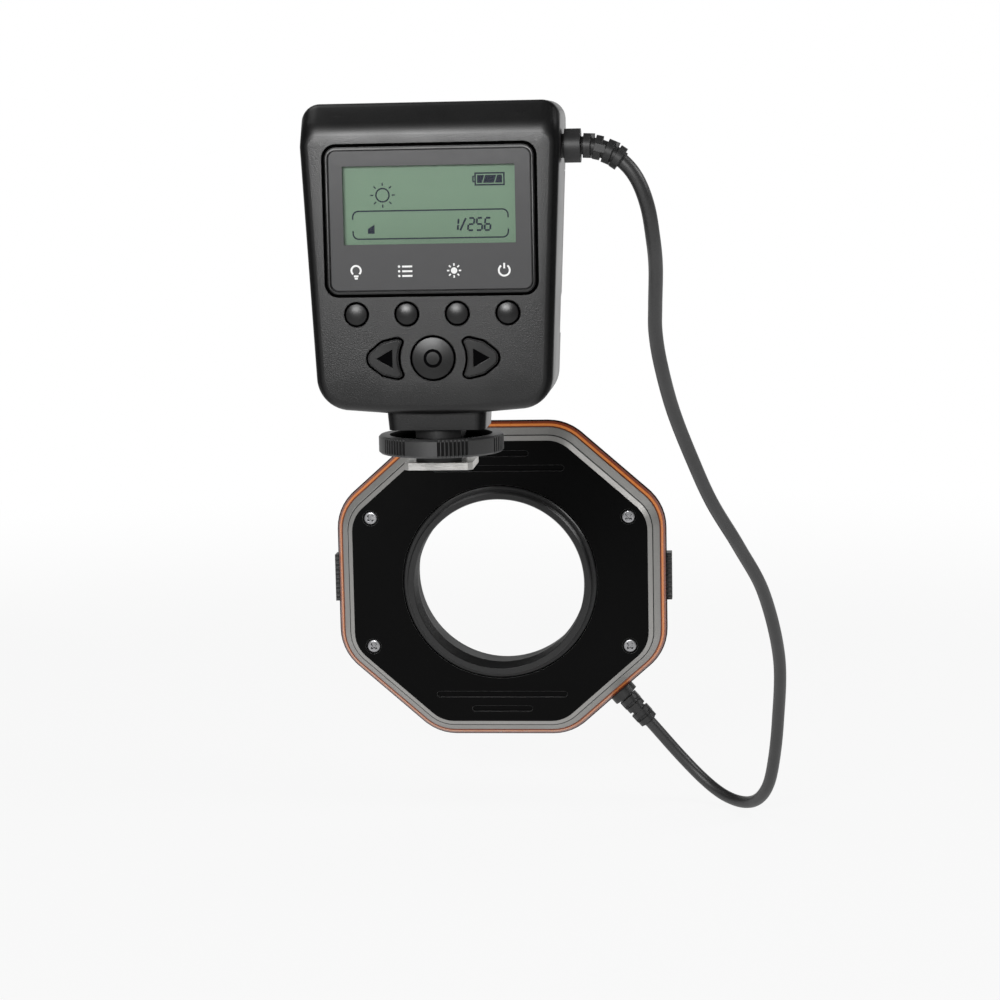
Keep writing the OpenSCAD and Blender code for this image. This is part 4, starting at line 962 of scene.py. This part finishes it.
def add_all_screws():
    low, high = box_mm("head_screws")
    xs, zs = (low.x + SCREW_INSET, high.x - SCREW_INSET), (low.z + SCREW_INSET, high.z - SCREW_INSET)
    spots = [(x, low.y, z) for x in xs for z in zs]
    add_screws("head_screw_set", "head_screws", spots, (0, -1, 0), HEAD_SCREW)
    low, high = box_mm("case_screws")
    spots = [(x, BROW_SCREW_Y, high.z - SCREW_INSET) for x in (-BROW_SCREW_X, BROW_SCREW_X)]
    spots += [(x, high.y, low.z + SCREW_INSET) for x in (low.x + SCREW_INSET, high.x - SCREW_INSET)]
    add_screws("case_screw_set", "case_screws", spots, (0, 1, 0), CASE_SCREW)
    low, high = box_mm("foot_screws")
    xs, ys = (low.x + FOOT_INSET, high.x - FOOT_INSET), (low.y + FOOT_INSET, high.y - FOOT_INSET)
    spots = [(x, y, low.z) for x in xs for y in ys]
    add_screws("foot_screw_set", "foot_screws", spots, (0, 0, -1), FOOT_SCREW)


# Springs: wire coils
COIL_STEPS, WIRE_SIDES = 20, 8
# Radius of the wire, turns, and the share of its length that a spring keeps at the end of its joint's travel
CONTACT_SPRING, LATCH_SPRING = (0.22, 5, 0.84), (0.25, 4, 0.72)


def coil_loops(start, along, length, coil_r, wire_r, turns):
    """Loops of a wire that winds about a line from start."""
    u = along.orthogonal().normalized()
    v = along.cross(u)
    count = turns * COIL_STEPS
    loops = []
    for i in range(count + 1):
        a = 2 * math.pi * i / COIL_STEPS
        out = u * math.cos(a) + v * math.sin(a)
        middle = start + along * (wire_r + (length - 2 * wire_r) * i / count)
        loops.append([middle + out * (coil_r + wire_r * math.cos(b)) + along * wire_r * math.sin(b)
                      for b in even_angles(WIRE_SIDES)])
    return loops


def add_spring(node, joint, along, wire_r, turns, keep):
    """A spring in its CAD node's place, wound from the end that along starts from."""
    low, high = box_mm(node)
    size = high - low
    length = abs(size.dot(along))
    across = max(size - along * size.dot(along))
    start = (low + high) / 2 - along * length / 2
    loops = coil_loops(start, along, length, across / 2 - wire_r, wire_r, turns)
    piece = add_skins(node + "_coil", [loops], LOOKS["spring_steel"], "body", [node])
    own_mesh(piece)


def add_springs():
    add_spring("contact_spring", "contact_press", Vector((0, 0, -1)), *CONTACT_SPRING)
    add_spring("latch_spring_left", "latch_left_press", Vector((-1, 0, 0)), *LATCH_SPRING)
    add_spring("latch_spring_right", "latch_right_press", Vector((1, 0, 0)), *LATCH_SPRING)


# Lens adapter: a turned ring whose male thread shows, with depths from the head's centre
THREAD_R, THREAD_PITCH, THREAD_DEPTH = 31.0, 0.75, 0.4
THREAD_END, THREAD_FADE, THREAD_EDGE = -0.3, 0.5, 0.4
ADAPTER_BORE, BORE_EDGE = 28.6, 0.3
# Fine rings turned in the bore
BORE_PITCH, BORE_DEPTH = 0.28, 0.14
FLANGE_R, FLANGE_EDGE = 32.7, 0.5
GROOVE_Y0, GROOVE_Y1 = 2.4, 6.1
TURN_STEPS = 160
THREAD_STEPS_PER_TURN = 6


def thread_dip(y, turn, y0, y1):
    """How deep the thread's groove is at a depth and a share of a turn."""
    phase = (y / THREAD_PITCH - turn) % 1.0
    fade = min(1.0, (y - y0) / THREAD_FADE, (y1 - y) / THREAD_FADE)
    return THREAD_DEPTH * max(0.0, fade) * abs(2 * phase - 1)


def adapter_loop(y, radii):
    turned = zip(even_angles(TURN_STEPS), radii)
    return [HEAD_CENTRE + Vector((r * math.cos(a), y, r * math.sin(a))) for a, r in turned]


def add_adapter():
    y0, y1 = ADAPTER_LOW.y - HEAD_CENTRE.y, ADAPTER_HIGH.y - HEAD_CENTRE.y
    thread_y, thread_l = y0 + THREAD_EDGE, THREAD_END - y0 - THREAD_EDGE
    steps = int(thread_l / THREAD_PITCH * THREAD_STEPS_PER_TURN)
    thread = []
    for y in (thread_y + thread_l * i / steps for i in range(steps + 1)):
        dips = [thread_dip(y, i / TURN_STEPS, thread_y, THREAD_END) for i in range(TURN_STEPS)]
        thread.append(adapter_loop(y, [THREAD_R - dip for dip in dips]))
    ends = [(ADAPTER_BORE + BORE_EDGE, y0), (THREAD_R - THREAD_EDGE, y0)]
    rows = [(FLANGE_R - FLANGE_EDGE, THREAD_END), (FLANGE_R, THREAD_END + FLANGE_EDGE), (FLANGE_R, GROOVE_Y0),
            (THREAD_R, GROOVE_Y0), (THREAD_R, GROOVE_Y1), (FLANGE_R, GROOVE_Y1), (FLANGE_R, y1),
            (ADAPTER_BORE, y1)]
    bore_l = y1 - y0 - 2 * BORE_EDGE
    steps = int(bore_l / BORE_PITCH)
    for i in range(steps + 1):
        rows.append((ADAPTER_BORE + BORE_DEPTH * (i % 2), y1 - BORE_EDGE - bore_l * i / steps))
    before, after = ([adapter_loop(y, [r] * TURN_STEPS) for r, y in plain] for plain in (ends, rows))
    add_skins("threaded_adapter", [before + thread + after], LOOKS["adapter_black"], "lens_adapter",
              ["lens_adapter"], closed=True)


# Cord: the route of the part's source
TAIL_END = Vector((50.315, -4, 81.595))
TAIL_LEAN = math.radians(42)
TAIL_DIR = Vector((math.cos(TAIL_LEAN), 0, -math.sin(TAIL_LEAN)))
CORD_END = Vector((49.373, 173, -110.735))
END_DIR = Vector((0.66011, 0, -0.75116))
CORD_D = 4.0
CORD_SIDE_STEPS, CORD_STEPS = 8, 10
ROUTE = [(54.2, -3.8, 76.7), (56.8, -2.4, 69.6), (58, 1.6, 61.4), (58.5, 8, 53), (58, 16, 42),
         (57.8, 22, 34), (59, 29.5, 24), (62, 41, 10), (67, 54, -5.5), (72.5, 66, -20), (80.5, 81, -36),
         (88, 96, -53), (92.8, 114, -77), (92.5, 130, -101), (91, 140, -118), (89, 147, -127.5),
         (85.5, 154, -133.5), (80.5, 161.2, -136), (74.3, 167.2, -135), (67.6, 171.2, -130.6),
         (59.5, 173, -122.5)]


def add_cord():
    """A Bezier tube that passes the route's points as a Catmull-Rom line does."""
    points = [TAIL_END, *(Vector(p) for p in ROUTE), CORD_END]
    before = points[1] - 2 * (points[1] - TAIL_END).length * TAIL_DIR
    after = points[-2] - 2 * (points[-2] - CORD_END).length * END_DIR
    knots = [before, *points, after]
    curve = bpy.data.curves.new("cord_tube", "CURVE")
    curve.dimensions = "3D"
    curve.bevel_depth = CORD_D / 2 * MM
    curve.bevel_resolution = CORD_SIDE_STEPS
    curve.resolution_u = CORD_STEPS
    curve.use_fill_caps = True
    spline = curve.splines.new("BEZIER")
    spline.bezier_points.add(len(points) - 1)
    for i, spot in enumerate(spline.bezier_points):
        reach = (knots[i + 2] - knots[i]) / 6
        spot.co = points[i] * MM
        spot.handle_left_type = spot.handle_right_type = "FREE"
        spot.handle_left = (points[i] - reach) * MM
        spot.handle_right = (points[i] + reach) * MM
    piece = add_piece("cord_tube", curve, LOOKS["cord_rubber"], "body", ["cord"])


# Studio: a pale floor, soft lamps and a dim room that is white behind the object
FLOOR_AT, FLOOR_R, FLOOR_SIDES = (0, 100, -138.4), 6000, 96
FLOOR_GREY, FLOOR_ROUGHNESS = 0.6, 0.9
# The floor is white round the object and in the sector behind it, and pale beyond
FLOOR_WHITE_NEAR, FLOOR_WHITE_PAST = 0.9, 0.25
POOL_FROM, POOL_TO = 350, 900
FRONT_FROM, FRONT_TO = -140, -380
# The white sector: where it starts and ends to fade, in degrees from +Y, and as a direction's height
SECTOR_FROM, SECTOR_TO = 30, 64
SECTOR_HEIGHT = (0.38, 0.45)
# Brightness of the room at its sides and in front, and the share of it that is left above
ROOM_DIM, ROOM_FRONT, ROOM_ABOVE = 0.22, 0.25, 0.4
# Parts of a direction between which the front passes into the sides, and the sides into the ceiling
FRONT_TO_SIDE, SIDE_TO_ABOVE = (-0.95, -0.5), (0.3, 0.6)
# Softboxes: place, aim, width and height, brightness, and whether gloss may mirror them
LAMPS = {
    "front_box": ((-110, -620, 225), (0, 0, 60), (260, 160), 25.5, True),
    "top_box": ((-450, 150, 800), (0, 60, 0), (600, 600), 1.6, True),
    "right_box": ((690, 30, 470), (40, 100, 0), (350, 350), 5.5, True),
    "back_fill": ((200, 950, 300), (0, 170, -50), (500, 400), 2.5, False),
}


def fading(tree, *values):
    """A map range with soft ends."""
    return map_range(tree, *values, interpolation_type="SMOOTHSTEP")


def sector_share(tree, split, past):
    """1 in the sector behind the object, falling to past at its sides."""
    angle = number(tree, "ARCTAN2", number(tree, "ABSOLUTE", split["X"]), split["Y"])
    return fading(tree, angle, math.radians(SECTOR_FROM), math.radians(SECTOR_TO), 1.0, past)


def background_rays(tree):
    """1 for the rays that show the background, seen straight or in gloss or glass."""
    path = new_node(tree, "ShaderNodeLightPath")
    seen = path["Is Camera Ray"]
    for kind in ("Is Glossy Ray", "Is Transmission Ray"):
        seen = number(tree, "MAXIMUM", seen, path[kind])
    return seen


def white_share(look):
    """How white the floor shows: most of it near the object, all of it behind, little elsewhere."""
    away = look.vector("LENGTH", {0: look.place["Object"]}, "Value")
    split = look.node("SeparateXYZ", {0: look.place["Object"]})
    far = sector_share(look.tree, split, FLOOR_WHITE_PAST)
    reach = look.larger(fading(look.tree, away, POOL_FROM * MM, POOL_TO * MM),
                        fading(look.tree, split["Y"], FRONT_FROM * MM, FRONT_TO * MM))
    return look.node("Mix", {0: reach, 2: FLOOR_WHITE_NEAR, 3: far})[0]


def floor_look():
    """White to the rays that show the background; the rest of it is plain floor, which takes the shadow."""
    look = Look("floor_white", (FLOOR_GREY,) * 3, FLOOR_ROUGHNESS, Specular_IOR_Level=0.0)
    factor = look.times(background_rays(look.tree), white_share(look))
    glow = look.node("Emission")[0]
    mix = look.node("MixShader", {0: factor, 1: look.shader.outputs[0], 2: glow})[0]
    look.tree.links.new(mix, look.tree.nodes["Material Output"].inputs[0])
    return look


def add_floor():
    bm = bmesh.new()
    bmesh.ops.create_circle(bm, cap_ends=True, radius=FLOOR_R * MM, segments=FLOOR_SIDES)
    mesh = bpy.data.meshes.new("floor")
    bm.to_mesh(mesh)
    bm.free()
    mesh.materials.append(floor_look().mat)
    piece = bpy.data.objects.new("floor", mesh)
    piece.location = Vector(FLOOR_AT) * MM
    bpy.context.scene.collection.objects.link(piece)


def add_lamp(name, at, aim, size, level, mirrored):
    """A rectangular softbox whose surface has about the brightness level."""
    data = bpy.data.lights.new(name, "AREA")
    data.shape = "RECTANGLE"
    data.size, data.size_y = size[0] * MM, size[1] * MM
    data.energy = level * math.pi * data.size * data.size_y
    lamp = bpy.data.objects.new(name, data)
    lamp.location = Vector(at) * MM
    lamp.rotation_euler = (Vector(aim) - Vector(at)).to_track_quat("-Z", "Y").to_euler()
    lamp.visible_camera = False
    lamp.visible_glossy = mirrored
    bpy.context.scene.collection.objects.link(lamp)


def add_world():
    """The room round the stage: dim, dimmer still above, and white in the sector behind the object."""
    world = bpy.data.worlds.new("studio")
    bpy.context.scene.world = world
    world.use_nodes = True
    tree = world.node_tree
    place = new_node(tree, "ShaderNodeTexCoord")["Generated"]
    split = new_node(tree, "ShaderNodeSeparateXYZ", {0: place})
    front = fading(tree, split["Y"], *FRONT_TO_SIDE, ROOM_FRONT, ROOM_DIM)
    above = fading(tree, split["Z"], *SIDE_TO_ABOVE, 1.0, ROOM_ABOVE)
    level = number(tree, "MULTIPLY", front, above)
    white = sector_share(tree, split, 0.0)
    low = fading(tree, split["Z"], *SECTOR_HEIGHT, 1.0, 0.0)
    for share in (low, background_rays(tree)):
        white = number(tree, "MULTIPLY", white, share)
    strength = new_node(tree, "ShaderNodeMix", {0: white, 2: level, 3: 1.0})[0]
    tree.links.new(strength, tree.nodes["Background"].inputs["Strength"])
    tree.nodes["Background"].inputs["Color"].default_value = (1, 1, 1, 1)


def add_studio():
    add_floor()
    add_world()
    for name, settings in LAMPS.items():
        add_lamp(name, *settings)
    bpy.context.scene.view_settings.view_transform = "Standard"


add_camera()
finish_cad_nodes()
add_cord()
add_window()
add_lcd_symbols()
add_legends()
add_key_marks()
add_all_screws()
add_springs()
add_adapter()
add_studio()
